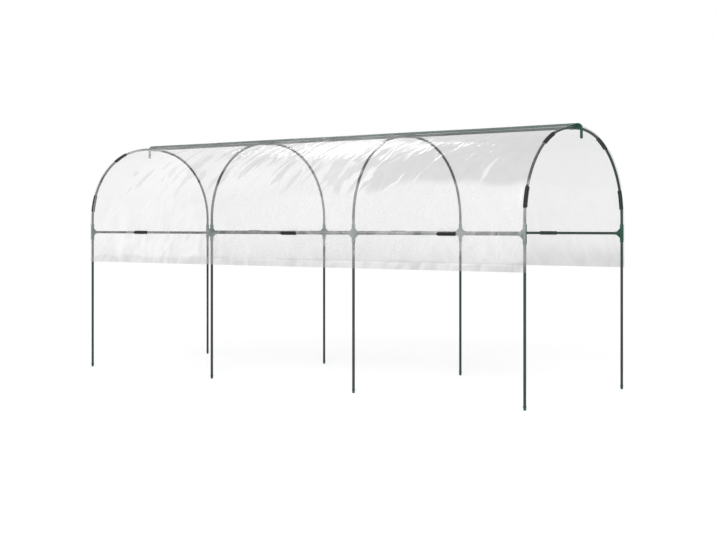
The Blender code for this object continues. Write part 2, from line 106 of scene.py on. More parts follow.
FILM_OVERHANG = 0.011
CLIP_INNER = 0.0082
CLIP_WALL = 0.0014
CLIP_LENGTH = 0.100
CLIP_WRAP = math.radians(122)
CLIP_LIP = 0.0010
HOOP_CLIPS = {"low": math.radians(12.5), "high": math.radians(60.5)}
CLIPPED_HOOPS = {"front": (1, HOOP_COUNT), "back": (HOOP_COUNT,)}
# The film hangs slack over this clip, so the clip doesn't draw it in
COVERED_CLIP = ("low", 1)

# What follows from them
SPRING = RAIL_HEIGHT + UPRIGHT
CROWN_R = SHOULDER_R + (HALF_SPAN - SHOULDER_R) / math.cos(SHOULDER_TURN)
CROWN_CENTRE = Vector((0, 0, RIDGE - CROWN_R))
BORE_R = TUBE_R + GAP

# How finely the bends are divided, and from which angle on an edge looks sharp
SLEEVE_STEPS = 6
GROOVE_STEPS = 14
HOOK_STEPS = 14
CLIP_BEND_STEPS = 12
SHARP_ANGLE = math.radians(38)

# The middle ring of a rounded rim: how far in and how far up, as shares of the rounding
ROUND_IN = 0.3
ROUND_UP = 0.7

# Rings of a dome: size as a share of the ring before, and rise as a share of the tube's radius
DOME_RINGS = ((0.93, 0.35), (0.80, 0.25), (0.55, 0.18))
DOME_HEIGHT = 0.78    # their rises together

# The photograph's camera, worked out from the legs and rails in it
PICTURE_WIDTH = 716
PICTURE_HEIGHT = 540
SENSOR_WIDTH = 36.0
FOCAL_PIXELS = 1288.91
HORIZON_PIXEL = 225.19
CAMERA_PLACE = (4.588, -5.668, 0.859)
CAMERA_TURN = 0.6645

# The lamps: where they hang, what they face and how large they are
FRONT_LAMP = (3.4, -4.9, 2.8)
FRONT_TARGET = (0.2, 0.0, 0.8)
FRONT_SIZE = (2.4, 2.4)
ROOF_LAMP = (-1.5, 0.75, 3.6)
ROOF_TARGET = (0.4, -0.35, 1.25)
ROOF_SIZE = (1.5, 1.0)

# The floor: ranges of the distance, and of the front lamp's light, in which its look changes
FLOOR_HALF = 40.0
GLOW_AWAY = (1.0, 3.5)
GLOW_SPARED = (0.25, 0.95)
COLOUR_SPARED = (0.9, 1.7)
COLOUR_KEPT = 0.6
WHITE = (1.0, 1.0, 1.0, 1.0)


def settings():
    return bpy.context.scene.greenhouse


def link(thing):
    bpy.context.scene.collection.objects.link(thing)
    return thing


# Nodes of a material

def node(tree, kind, **values):
    made = tree.nodes.new(kind)
    for name, value in values.items():
        setattr(made, name, value)
    return made


def feed(tree, source, socket):
    """Give a socket another socket's output or a plain value."""
    if isinstance(source, bpy.types.NodeSocket):
        tree.links.new(source, socket)
    elif socket.type == "RGBA":
        socket.default_value = (*source[:3], 1.0)
    else:
        socket.default_value = source


def fill(tree, made, values):
    """Feed a node's inputs in their order."""
    for socket, value in zip(made.inputs, values):
        feed(tree, value, socket)
    return made.outputs


def calculate(tree, operation, *values, clamp=False):
    return fill(tree, node(tree, "ShaderNodeMath", operation=operation, use_clamp=clamp), values)[0]


def vector_maths(tree, operation, *values):
    """A calculation with vectors, and its outputs Vector and Value."""
    return fill(tree, node(tree, "ShaderNodeVectorMath", operation=operation), values)


def blend_colours(tree, factor, first, second):
    mixer = node(tree, "ShaderNodeMix", data_type="RGBA")
    feed(tree, factor, mixer.inputs[0])
    feed(tree, first, mixer.inputs[6])
    feed(tree, second, mixer.inputs[7])
    return mixer.outputs[2]


def spread(tree, value, low, high, to_low=0.0, to_high=1.0):
    """Stretch a value's range from low to high over another range, and hold it inside."""
    return fill(tree, node(tree, "ShaderNodeMapRange"), (value, low, high, to_low, to_high))[0]


def attribute(tree, name):
    return node(tree, "ShaderNodeAttribute", attribute_name=name).outputs["Fac"]


def noise(tree, vector, scale, detail=3.0, distortion=0.0):
    cloud = node(tree, "ShaderNodeTexNoise")
    given = {"Vector": vector, "Scale": scale, "Detail": detail, "Distortion": distortion}
    for name, value in given.items():
        feed(tree, value, cloud.inputs[name])
    return cloud.outputs["Fac"]


def mapped(tree, vector, turn=(0, 0, 0), scale=(1, 1, 1)):
    mapping = node(tree, "ShaderNodeMapping")
    feed(tree, vector, mapping.inputs["Vector"])
    feed(tree, turn, mapping.inputs["Rotation"])
    feed(tree, scale, mapping.inputs["Scale"])
    return mapping.outputs["Vector"]


def place_on_object(tree):
    return node(tree, "ShaderNodeTexCoord").outputs["Object"]


def bump(tree, height, strength, distance):
    bumped = node(tree, "ShaderNodeBump")
    feed(tree, strength, bumped.inputs["Strength"])
    feed(tree, distance, bumped.inputs["Distance"])
    feed(tree, height, bumped.inputs["Height"])
    return bumped.outputs["Normal"]


def new_group(name, inputs, outputs):
    """A node group with inputs and outputs by name, and its input and output nodes."""
    group = bpy.data.node_groups.new(name, "ShaderNodeTree")
    for label, kind, value in inputs:
        socket = group.interface.new_socket(label, in_out="INPUT", socket_type=kind)
        socket.default_value = value
    for label, kind in outputs:
        group.interface.new_socket(label, in_out="OUTPUT", socket_type=kind)
    return group, node(group, "NodeGroupInput").outputs, node(group, "NodeGroupOutput").inputs


# Ranges of a noise, of a face's slope and of a scratch's level between which an effect grows
NOISE_RANGE = (0.3, 0.7)
DUST_SLOPE = (0.2, 0.95)
DUST_CLOUD = (0.35, 0.75)
SCRATCH_LEVEL = (0.66, 0.74)
# Noise scales along and across a scratch
SCRATCH_LONG = 18
SCRATCH_THIN = 420


def mottle_group():
    """Slow and fine changes of a finish: its tone, its gloss and the height of its grain."""
    group, given, result = new_group(
        "Mottle",
        [
            ("Colour", "NodeSocketColor", (0.5, 0.5, 0.5, 1.0)),
            ("Contrast", "NodeSocketFloat", 0.15),
            ("Roughness", "NodeSocketFloat", 0.4),
            ("Gloss change", "NodeSocketFloat", 0.06),
            ("Patch scale", "NodeSocketFloat", 14.0),
            ("Grain scale", "NodeSocketFloat", 900.0),
        ],
        [("Colour", "NodeSocketColor"), ("Roughness", "NodeSocketFloat"), ("Height", "NodeSocketFloat")],
    )
    place = place_on_object(group)
    patches = spread(group, noise(group, place, given["Patch scale"]), *NOISE_RANGE)
    grain = noise(group, place, given["Grain scale"])
    change = calculate(group, "MULTIPLY", calculate(group, "SUBTRACT", patches, 0.5), given["Contrast"])
    light = node(group, "ShaderNodeHueSaturation")
    feed(group, given["Colour"], light.inputs["Color"])
    feed(group, calculate(group, "ADD", change, 1.0), light.inputs["Value"])
    feed(group, light.outputs["Color"], result["Colour"])
    gloss = calculate(group, "MULTIPLY", calculate(group, "SUBTRACT", grain, 0.5), given["Gloss change"])
    feed(group, calculate(group, "ADD", given["Roughness"], gloss), result["Roughness"])
    feed(group, grain, result["Height"])
    return group


def dust_group():
    """Where dust settles: on faces that look up, broken by a cloud."""
    group, given, result = new_group(
        "Dust",
        [("Amount", "NodeSocketFloat", 0.3), ("Scale", "NodeSocketFloat", 60.0)],
        [("Mask", "NodeSocketFloat")],
    )
    up = node(group, "ShaderNodeSeparateXYZ")
    feed(group, node(group, "ShaderNodeNewGeometry").outputs["Normal"], up.inputs[0])
    flat = spread(group, up.outputs["Z"], *DUST_SLOPE)
    cloud = spread(group, noise(group, place_on_object(group), given["Scale"], detail=5.0), *DUST_CLOUD)
    settled = calculate(group, "MULTIPLY", flat, cloud)
    feed(group, calculate(group, "MULTIPLY", settled, given["Amount"]), result["Mask"])
    return group


def scuff_group():
    """Fine scratches that run along X or Z, thin and far apart."""
    group, given, result = new_group(
        "Scuffs",
        [("Amount", "NodeSocketFloat", 0.4)],
        [("Mask", "NodeSocketFloat")],
    )
    place = place_on_object(group)
    scratches = []
    for scale in ((SCRATCH_LONG, SCRATCH_THIN, SCRATCH_THIN), (SCRATCH_THIN, SCRATCH_THIN, SCRATCH_LONG)):
        cloud = noise(group, mapped(group, place, scale=scale), 1.0, detail=2.0)
        scratches.append(spread(group, cloud, *SCRATCH_LEVEL))
    lines = calculate(group, "MAXIMUM", *scratches)
    feed(group, calculate(group, "MULTIPLY", lines, given["Amount"]), result["Mask"])
    return group


GROUPS = {"Mottle": mottle_group, "Dust": dust_group, "Scuffs": scuff_group}


def place_group(tree, name, **values):
    """Put a shared group in a material with its own values."""
    placed = node(tree, "ShaderNodeGroup", node_tree=bpy.data.node_groups.get(name) or GROUPS[name]())
    for label, value in values.items():
        feed(tree, value, placed.inputs[label.replace("_", " ")])
    return placed.outputs


def new_material(name):
    material = bpy.data.materials.new(name)
    material.use_nodes = True
    tree = material.node_tree
    return material, tree, tree.nodes["Principled BSDF"]


def set_plain(shader, values):
    """Values that are the same all over the surface."""
    for name, value in values.items():
        shader.inputs[name].default_value = value


DUST_COLOUR = (0.30, 0.31, 0.29)
# A scratch's colour: this share of the finish's own and this much white
SCRATCH_OWN = 0.5
SCRATCH_WHITE = 0.12
# Roughness that dust and scratches add, and how strongly the grain shows
WEAR_ROUGHNESS = 0.3
GRAIN_STRENGTH = 0.3


def solid_finish(name, colour, roughness, contrast, grain, relief, dust, scuffs, coat=0.0):
    """A painted or moulded finish with mottling, grain, dust and scuffs."""
    material, tree, shader = new_material(name)
    mottle = place_group(
        tree, "Mottle", Colour=colour, Contrast=contrast, Roughness=roughness, Grain_scale=grain
    )
    settled = place_group(tree, "Dust", Amount=dust)["Mask"]
    scratched = place_group(tree, "Scuffs", Amount=scuffs)["Mask"]
    pale = [SCRATCH_OWN * part + SCRATCH_WHITE for part in colour]
    worn = blend_colours(tree, scratched, mottle["Colour"], pale)
    feed(tree, blend_colours(tree, settled, worn, DUST_COLOUR), shader.inputs["Base Color"])
    dulling_and_painted_shade = calculate(tree, "MULTIPLY", calculate(tree, "ADD", settled, scratched), WEAR_ROUGHNESS)
    feed(tree, calculate(tree, "ADD", mottle["Roughness"], dulling_and_painted_shade, clamp=True), shader.inputs["Roughness"])
    feed(tree, bump(tree, mottle["Height"], GRAIN_STRENGTH, relief), shader.inputs["Normal"])
    set_plain(shader, {"Specular IOR Level": 0.25, "Coat Weight": coat, "Coat Roughness": 0.15})
    return material


def tube_finish(name):
    """Powder coat on steel tube, with its slight orange peel."""
    return solid_finish(
        name, settings().tube_colour, roughness=0.34, contrast=0.25, grain=620.0, relief=0.0002,
        dust=0.10, scuffs=0.20, coat=0.05,
    )


def moulding_finish(name):
    return solid_finish(
        name, settings().moulding_colour, roughness=0.46, contrast=0.2, grain=1500.0, relief=0.0001,
        dust=0.12, scuffs=0.1,
    )


def ridge_finish(name):
    return solid_finish(
        name, settings().ridge_colour, roughness=0.38, contrast=0.2, grain=900.0, relief=0.0001,
        dust=0.08, scuffs=0.15,
    )


def clip_finish(name):
    return solid_finish(
        name, settings().clip_colour, roughness=0.50, contrast=0.2, grain=1800.0, relief=0.0001,
        dust=0.01, scuffs=0.04,
    )


# Scales of the film's noises along and across its streaks
STREAK_SCALE = (4.5, 17, 1)
FINE_SCALE = (12, 90, 1)
CLOUD_SCALE = (6.0, 11, 1)
# Level of the streaks' noise above which it is grey, where the cover is none and where it is full
COVER_CUTS = (0.66, 0.28)
# Ranges round that level and of the clouds' noise in which they grow, and of the film's roughness
STREAK_EDGE = (-0.02, 0.035)
CLOUD_RANGE = (0.35, 0.65)
FILM_ROUGHNESS = (0.10, 0.20)
# How wide it is seen edge on, and the haze that it gains there
EDGE_BLEND = 0.12
EDGE_HAZE = 0.15


def film_finish(name):
    """Clear plastic film: thin haze, slanted streaks, painted shade on the shoulders, painted highlights,
    and painted shade towards the hem.
    """
    film = settings().film
    material, tree, shader = new_material(name)
    sheet = node(tree, "ShaderNodeUVMap", uv_map="Film").outputs["UV"]
    slanted = mapped(tree, sheet, turn=(0, 0, -film.slant))
    streaks = noise(tree, mapped(tree, slanted, scale=STREAK_SCALE), 1.0, detail=2.0, distortion=0.9)
    fine = noise(tree, mapped(tree, slanted, scale=FINE_SCALE), 1.0, detail=3.0, distortion=0.5)
    clouds = noise(tree, mapped(tree, slanted, scale=CLOUD_SCALE), 1.0, detail=1.5, distortion=1.2)
    # The colour: painted shade, grey in the streaks of the shoulder, and the tone of each place, which holds
    # more painted shade and painted highlights
    cut = spread(tree, attribute(tree, "cover"), 0.0, 1.0, *COVER_CUTS)
    patches = spread(tree, calculate(tree, "SUBTRACT", streaks, cut), *STREAK_EDGE)
    grey = calculate(tree, "MULTIPLY", patches, attribute(tree, "shoulder"))
    pale = [film.shade] * 3
    painted_shade_colour = [film.shade * film.shoulder_shade] * 3
    light = node(tree, "ShaderNodeHueSaturation")
    feed(tree, blend_colours(tree, grey, pale, painted_shade_colour), light.inputs["Color"])
    feed(tree, attribute(tree, "tone"), light.inputs["Value"])
    feed(tree, light.outputs["Color"], shader.inputs["Base Color"])
    # The haze: clouds, less in the grey, more or less of it by place, and more edge on
    cloudy = spread(tree, clouds, *CLOUD_RANGE, -1.0, 1.0)
    cloudy = calculate(tree, "MULTIPLY", cloudy, attribute(tree, "mottle"))
    alpha = calculate(tree, "ADD", cloudy, film.haze)
    alpha = calculate(tree, "MULTIPLY_ADD", grey, -film.shoulder_clear, alpha)
    alpha = calculate(tree, "ADD", alpha, attribute(tree, "veil"))
    edge_on = node(tree, "ShaderNodeLayerWeight")
    edge_on.inputs["Blend"].default_value = EDGE_BLEND
    alpha = calculate(tree, "MULTIPLY_ADD", edge_on.outputs["Facing"], EDGE_HAZE, alpha, clamp=True)
    feed(tree, alpha, shader.inputs["Alpha"])
    feed(tree, spread(tree, fine, *NOISE_RANGE, *FILM_ROUGHNESS), shader.inputs["Roughness"])
    crumpled = calculate(tree, "MULTIPLY", streaks, attribute(tree, "crumple"))
    feed(tree, bump(tree, crumpled, 1.0, film.crumple_height), shader.inputs["Normal"])
    set_plain(shader, {"IOR": 1.5, "Specular IOR Level": 0.8})
    return material


FINISHES = {
    "coated_tube": tube_finish,
    "moulded_green": moulding_finish,
    "ridge_green": ridge_finish,
    "clip_black": clip_finish,
    "cover_film": film_finish,
}


def finish(slot):
    """The finish for a slot, made once. The frame's own plain materials keep the slots' names."""
    name = slot.replace("_", " ").capitalize()
    return bpy.data.materials.get(name) or FINISHES[slot](name)


# Shapes

def unique(items):
    """Each item once, in the order of its first place, so that each run does the same."""
    return list(dict.fromkeys(items))


def ring(bm, radius, matrix):
    """A ring of edges about Z, moved by a matrix."""
    sides = settings().tube_sides
    made = bmesh.ops.create_circle(bm, cap_ends=False, radius=radius, segments=sides, matrix=matrix)
    return unique(edge for corner in made["verts"] for edge in corner.link_edges)


def only(items, kind):
    return [item for item in items if isinstance(item, kind)]


def corners_of(edges):
    return unique(corner for edge in edges for corner in edge.verts)


def middle_of(edges):
    corners = corners_of(edges)
    return sum((corner.co for corner in corners), Vector()) / len(corners)


def grow(bm, edges, move, factor=1.0):
    """Extrude a loop of edges, move it and scale it about its middle."""
    grown = bmesh.ops.extrude_edge_only(bm, edges=edges)["geom"]
    corners = only(grown, bmesh.types.BMVert)
    inside = set(corners)
    loop = [edge for edge in only(grown, bmesh.types.BMEdge) if inside.issuperset(edge.verts)]
    bmesh.ops.translate(bm, verts=corners, vec=move)
    if factor != 1.0:
        about = Matrix.Translation(-middle_of(loop))
        bmesh.ops.scale(bm, vec=(factor, factor, factor), space=about, verts=corners)
    return loop


def swing(bm, edges, centre, axis, angle, steps):
    """Spin a loop of edges round an axis and return its last place."""
    swung = bmesh.ops.spin(
        bm, geom=corners_of(edges) + edges, cent=centre, axis=axis, angle=angle, steps=steps,
        use_duplicate=False,
    )
    return only(swung["geom_last"], bmesh.types.BMEdge)


def close(bm, edges):
    bmesh.ops.holes_fill(bm, edges=edges, sides=0)


def round_edges(bm, edges, offset, segments):
    bmesh.ops.bevel(
        bm, geom=edges, offset=offset, affect="EDGES", segments=segments, profile=0.5, material=-1
    )


def dome(bm, edges, direction, radius):
    """Close a round end with a shallow dome."""
    for factor, share in DOME_RINGS:
        edges = grow(bm, edges, direction * radius * share, factor)
    close(bm, edges)


def socket_end(bm, edges, direction, depth):
    """Round a collar's rim, turn it in to the bore and sink the socket to its floor."""
    edge = settings().edge
    radius = (corners_of(edges)[0].co - middle_of(edges)).length
    middle = radius - edge * ROUND_IN
    edges = grow(bm, edges, direction * edge * ROUND_UP, middle / radius)
    edges = grow(bm, edges, direction * edge * ROUND_IN, (radius - edge) / middle)
    edges = grow(bm, edges, Vector(), (BORE_R + edge / 2) / (radius - edge))
    edges = grow(bm, edges, -direction * edge / 2, BORE_R / (BORE_R + edge / 2))
    return grow(bm, edges, -direction * depth)


def solid_piece(bm, name, nodes, slot):
    """Close a bmesh's shapes into a smooth piece that stands for nodes and rides with the frame."""
    bmesh.ops.recalc_face_normals(bm, faces=bm.faces)
    mesh = bpy.data.meshes.new(name)
    bm.to_mesh(mesh)
    bm.free()
    mesh.shade_smooth()
    mesh.set_sharp_from_angle(angle=SHARP_ANGLE)
    dress(mesh, name, nodes, slot)


def dress(mesh, name, nodes, slot):
    mesh.materials.append(finish(slot))
    piece = link(bpy.data.objects.new(name, mesh))
    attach(piece, BODY)
    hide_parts(*nodes)
    return piece


def facing(direction):
    """A turn from Z to a direction."""
    return Vector(direction).to_track_quat("Z", "Y").to_matrix().to_4x4()


def tube_between(bm, start, end):
    """A closed tube from point to point."""
    start, end = Vector(start), Vector(end)
    first = ring(bm, TUBE_R, Matrix.Translation(start) @ facing(end - start))
    last = grow(bm, first, end - start)
    close(bm, first + last)


def posts():
    """Side, number and foot of each leg."""
    for side, way in SIDES.items():
        for number, x in enumerate(HOOPS, 1):
            yield side, number, Vector((x, way * HALF_SPAN, 0))


def build_legs():
    low = Vector((0, 0, CAP_HEIGHT + GAP))
    high = Vector((0, 0, RAIL_HEIGHT - STOP - GAP))
    for side, number, foot in posts():
        bm = bmesh.new()
        tube_between(bm, foot + low, foot + high)
        solid_piece(bm, f"leg_tube_{side}_{number}", [f"leg_{side}_{number}"], "coated_tube")


def build_foot_caps():
    """A ring under the tube's end and a blunt tip below it."""
    neck = CAP_HEIGHT - CAP_RING_HEIGHT
    ring_r = TUBE_R + CAP_RING
    shoulder = TUBE_R + CAP_BULGE
    edge = settings().edge
    # Radius and height of the ring's edges, then radius and share of the neck's height down the tip
    ring_levels = (
        (ring_r - edge, CAP_HEIGHT), (ring_r, CAP_HEIGHT - edge), (ring_r, neck + edge),
        (ring_r - edge, neck),
    )
    tip_levels = (
        (shoulder, 1.0), (shoulder * 0.985, 0.80), (shoulder * 0.94, 0.60), (shoulder * 0.86, 0.36),
        ((shoulder + CAP_TIP_R) * 0.56, 0.17), (CAP_TIP_R * 1.12, 0.04), (CAP_TIP_R * 0.8, 0.0),
    )
    levels = ring_levels + tuple((radius, neck * share) for radius, share in tip_levels)
    for side, number, foot in posts():
        bm = bmesh.new()
        place = Matrix.Translation(foot + Vector((0, 0, CAP_HEIGHT)))
        first = ring(bm, levels[0][0], place)
        last = first
        for (before, high), (after, low) in zip(levels, levels[1:]):
            last = grow(bm, last, Vector((0, 0, low - high)), after / before)
        close(bm, first + last)
        solid_piece(bm, f"foot_tip_{side}_{number}", [f"foot_cap_{side}_{number}"], "moulded_green")


def build_hoops():
    """Each hoop in one bent tube: upright, shoulder, crown, shoulder, upright."""
    foot = RAIL_HEIGHT + STOP + GAP
    steps = settings().bend_steps
    for number, x in enumerate(HOOPS, 1):
        bm = bmesh.new()
        first = ring(bm, TUBE_R, Matrix.Translation((x, -HALF_SPAN, foot)))
        last = grow(bm, first, Vector((0, 0, SPRING - foot)))
        bends = (
            ((x, SHOULDER_R - HALF_SPAN, SPRING), SHOULDER_TURN, steps),
            (CROWN_CENTRE + Vector((x, 0, 0)), math.pi - 2 * SHOULDER_TURN, steps // 2),
            ((x, HALF_SPAN - SHOULDER_R, SPRING), SHOULDER_TURN, steps),
        )
        for centre, angle, count in bends:
            last = swing(bm, last, centre, (1, 0, 0), -angle, count)
        last = grow(bm, last, Vector((0, 0, foot - SPRING)))
        close(bm, first + last)
        solid_piece(bm, f"hoop_tube_{number}", [f"hoop_{number}"], "coated_tube")


def build_rails():
    for number, (start, end) in enumerate(zip(HOOPS, HOOPS[1:]), 1):
        for side, way in SIDES.items():
            bm = bmesh.new()
            y = way * HALF_SPAN
            tube_between(bm, (start + STOP + GAP, y, RAIL_HEIGHT), (end - STOP - GAP, y, RAIL_HEIGHT))
            solid_piece(bm, f"rail_tube_{side}_{number}", [f"side_rail_{side}_{number}"], "coated_tube")
        bm = bmesh.new()
        tube_between(bm, (start + STOP + GAP, 0, RIDGE), (end - STOP - GAP, 0, RIDGE))
        solid_piece(bm, f"ridge_tube_{number}", [f"ridge_rail_{number}"], "coated_tube")


def arms_of(number):
    """Ways along X in which a hoop has rails."""
    return [way for way, last in ((-1, 1), (1, HOOP_COUNT)) if number != last]


def collar(bm, centre, start, end, radius, depths):
    """A collar from start to end through a connector's centre, with a socket in each deep end."""
    edge = settings().edge
    start, end = Vector(start), Vector(end)
    way = (end - start).normalized()
    place = Matrix.Translation(centre + start + way * edge) @ facing(way)
    first = ring(bm, radius, place)
    last = grow(bm, first, end - start - 2 * edge * way)
    for loop, direction, depth in ((first, -way, depths[0]), (last, way, depths[1])):
        close(bm, socket_end(bm, loop, direction, depth) if depth else loop)


def web(bm, centre, across, up):
    """A web between a leg's collar and a rail's, with a recess in each face."""
    inner = COLLAR_R - WEB_RIM / 2
    far = WEB_REACH + WEB_CORNER * COLLAR_R - inner
    outline = ((inner, inner), (far, inner), (inner, far))
    half = Vector((0, WEB_THICK / 2, 0))
    corners = [bm.verts.new(centre - half + Vector((across * x, 0, up * z))) for x, z in outline]
    face = bm.faces.new(corners)
    grown = bmesh.ops.extrude_face_region(bm, geom=[face])["geom"]
    bmesh.ops.translate(bm, verts=only(grown, bmesh.types.BMVert), vec=2 * half)
    faces = [face] + only(grown, bmesh.types.BMFace)
    around = unique(near for side in faces for edge in side.edges for near in edge.link_faces)
    bmesh.ops.recalc_face_normals(bm, faces=around)
    outer = [edge for side in faces for edge in side.edges]
    bmesh.ops.inset_individual(
        bm, faces=faces, thickness=WEB_RIM, depth=-WEB_POCKET, use_even_offset=True
    )
    round_edges(bm, outer, settings().edge * WEB_ROUNDING, 2)


def build_side_connectors():
    deep = SIDE_COLLAR - STOP
    reach = RAIL_COLLAR - STOP
    for side, number, foot in posts():
        bm = bmesh.new()
        centre = foot + Vector((0, 0, RAIL_HEIGHT))
        collar(bm, centre, (0, 0, -SIDE_COLLAR), (0, 0, SIDE_COLLAR), COLLAR_R, (deep, deep))
        arms = arms_of(number)
        start, end = (arm * RAIL_COLLAR if arm in arms else 0.0 for arm in (-1, 1))
        depths = [reach if arm in arms else 0.0 for arm in (-1, 1)]
        collar(bm, centre, (start, 0, 0), (end, 0, 0), RAIL_COLLAR_R, depths)
        for arm in arms:
            for up in (-1, 1):
                web(bm, centre, arm, up)
        solid_piece(
            bm, f"side_joint_{side}_{number}", [f"side_connector_{side}_{number}"], "moulded_green"
        )


def sleeve(bm, x):
    """A sleeve that follows the hoop over its crown."""
    half = CROWN_COLLAR / CROWN_R
    centre = CROWN_CENTRE + Vector((x, 0, 0))
    place = Matrix.Translation(centre) @ Matrix.Rotation(half, 4, "X")
    place = place @ Matrix.Translation((0, 0, CROWN_R)) @ Matrix.Rotation(math.pi / 2, 4, "X")
    first = ring(bm, COLLAR_R, place)
    last = swing(bm, first, centre, (1, 0, 0), -2 * half, SLEEVE_STEPS)
    ends = []
    for loop, way in ((first, -1), (last, 1)):
        ends.append(socket_end(bm, loop, Vector((0, way, 0)), settings().edge))
    bmesh.ops.bridge_loops(bm, edges=ends[0] + ends[1])


def saddle(bm, x):
    """The block on a ridge connector, with the groove in which the ridge pole lies."""
    top = POLE_LIFT - BORE_R + SADDLE_GRIP
    dip = math.asin((POLE_LIFT - top) / BORE_R)
    half = SADDLE_WIDTH / 2
    outline = [(-half, 0.0), (half, 0.0), (half, top)]
    for i in range(GROOVE_STEPS + 1):
        angle = -dip - (math.pi - 2 * dip) * i / GROOVE_STEPS
        outline.append((BORE_R * math.cos(angle), POLE_LIFT + BORE_R * math.sin(angle)))
    outline.append((-half, top))
    start = Vector((x - SADDLE_LENGTH / 2, 0, RIDGE))
    corners = [bm.verts.new(start + Vector((0, y, z))) for y, z in outline]
    loop = [bm.edges.new(pair) for pair in zip(corners, corners[1:] + corners[:1])]
    last = grow(bm, loop, Vector((SADDLE_LENGTH, 0, 0)))
    close(bm, loop + last)


def press_groove(bm):
    """Push what stands in the ridge pole's way out to the wall of its groove."""
    axis = Vector((0, RIDGE + POLE_LIFT))
    for corner in bm.verts:
        away = corner.co.yz - axis
        if away.length < BORE_R:
            corner.co.yz = axis + away.normalized() * BORE_R


def build_ridge_connectors():
    reach = RAIL_COLLAR - STOP
    for number, x in enumerate(HOOPS, 1):
        bm = bmesh.new()
        centre = Vector((x, 0, RIDGE))
        sleeve(bm, x)
        for arm in arms_of(number):
            start, end = (arm * BORE_R, 0, 0), (arm * RAIL_COLLAR, 0, 0)
            collar(bm, centre, start, end, RAIL_COLLAR_R, (0.0, reach))
        press_groove(bm)
        saddle(bm, x)
        solid_piece(bm, f"ridge_joint_{number}", [f"ridge_connector_{number}"], "moulded_green")


def pole_height(x):
    """Height of the ridge pole's axis: on the saddles, and down on a ridge rail at mid-bay."""
    away = min(abs(x - hoop) for hoop in HOOPS) if abs(x) < HOOPS[-1] else 0.0
    share = max(0.0, away - POLE_BEND) / (BAY / 2 - POLE_BEND)
    return RIDGE + POLE_LIFT + (POLE_LOW - POLE_LIFT) * share


def pole_run(bm, places):
    """A tube along the ridge through places on X, and its first and last ring."""
    points = [Vector((x, 0, pole_height(x))) for x in places]
    first = ring(bm, TUBE_R, Matrix.Translation(points[0]) @ facing((1, 0, 0)))
    last = first
    for before, after in zip(points, points[1:]):
        last = grow(bm, last, after - before)
    return first, last


def bay_bends(hoop):
    return [hoop + POLE_BEND, hoop + BAY / 2, hoop + BAY - POLE_BEND]


def build_ridge_pole():
    """Three lengths that plug together, with a hook down over each end."""
    joint = HOOPS[-2] + POLE_JOINT
    top = RIDGE + POLE_LIFT
    rim = settings().edge
    bm = bmesh.new()
    places = [-joint + rim]
    for hoop in HOOPS[1:-2]:
        places += bay_bends(hoop)
    first, last = pole_run(bm, places + [joint - rim])
    for loop, way in ((first, -1), (last, 1)):
        loop = grow(bm, loop, Vector((way * rim, 0, 0)), 1 - rim / TUBE_R)
        loop = grow(bm, loop, Vector(), SPIGOT_R / (TUBE_R - rim))
        close(bm, grow(bm, loop, Vector((way * GAP * 2, 0, 0))))
    solid_piece(bm, "pole_middle", ["ridge_pole_middle"], "ridge_green")
    bend = HOOPS[-1] + HOOK_REACH - HOOK_BEND_R
    for number, way in ((1, -1), (2, 1)):
        bm = bmesh.new()
        first, last = pole_run(bm, [joint + 2 * GAP + rim] + bay_bends(HOOPS[-2]) + [bend])
        first = grow(bm, first, Vector((-rim, 0, 0)), 1 - rim / TUBE_R)
        last = swing(bm, last, (bend, 0, top - HOOK_BEND_R), (0, 1, 0), math.pi / 2, HOOK_STEPS)
        last = grow(bm, last, Vector((0, 0, HOOK_BEND_R - HOOK_DROP + TUBE_R * DOME_HEIGHT)))
        dome(bm, last, Vector((0, 0, -1)), TUBE_R)
        close(bm, first)
        bmesh.ops.scale(bm, vec=(way, 1, 1), verts=bm.verts)
        solid_piece(bm, f"pole_end_{number}", [f"ridge_pole_end_{number}"], "ridge_green")


def clip_outline():
    """A C across a clip, open towards -Y, with lips turned out at its jaws."""
    steps = settings().clip_steps
    outer = CLIP_INNER + CLIP_WALL
    turns = [CLIP_WRAP * (2 * i / steps - 1) for i in range(steps + 1)]
    back = [(outer * math.sin(turn), outer * math.cos(turn)) for turn in turns]
    front = [(CLIP_INNER * math.sin(turn), CLIP_INNER * math.cos(turn)) for turn in reversed(turns)]
    drop = outer * math.cos(CLIP_WRAP) - 2 * CLIP_LIP
    jaw = outer * math.sin(CLIP_WRAP) + CLIP_LIP
    right, left = [(jaw, drop), (jaw - CLIP_WALL, drop)], [(CLIP_WALL - jaw, drop), (-jaw, drop)]
    return back + right + front + left


def clip_start(bm, place, out, along):
    """A clip's outline at a place, its back towards out and its length along a direction."""
    out, along = Vector(out), Vector(along)
    turn = Matrix((out.cross(along), out, along)).transposed().to_4x4()
    corners = [bm.verts.new((x, y, 0)) for x, y in clip_outline()]
    loop = [bm.edges.new(pair) for pair in zip(corners, corners[1:] + corners[:1])]
    bmesh.ops.transform(bm, matrix=Matrix.Translation(place) @ turn, verts=corners)
    return loop


def clip_caps(bm, first, last):
    """Close a clip's two ends and round their edges."""
    close(bm, first + last)
    round_edges(bm, first + last, settings().edge / 3, 1)


def build_rail_clips():
    """A straight clip on each side rail, where its own node lies."""
    for side, way in SIDES.items():
        for number in range(1, HOOP_COUNT):
            target = f"rail_clip_{side}_{number}"
            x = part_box(target)[0].x
            bm = bmesh.new()
            first = clip_start(bm, (x, way * HALF_SPAN, RAIL_HEIGHT), (0, way, 0), (1, 0, 0))
            last = grow(bm, first, Vector((CLIP_LENGTH, 0, 0)))
            clip_caps(bm, first, last)
            solid_piece(bm, f"rail_grip_{side}_{number}", [target], "clip_black")


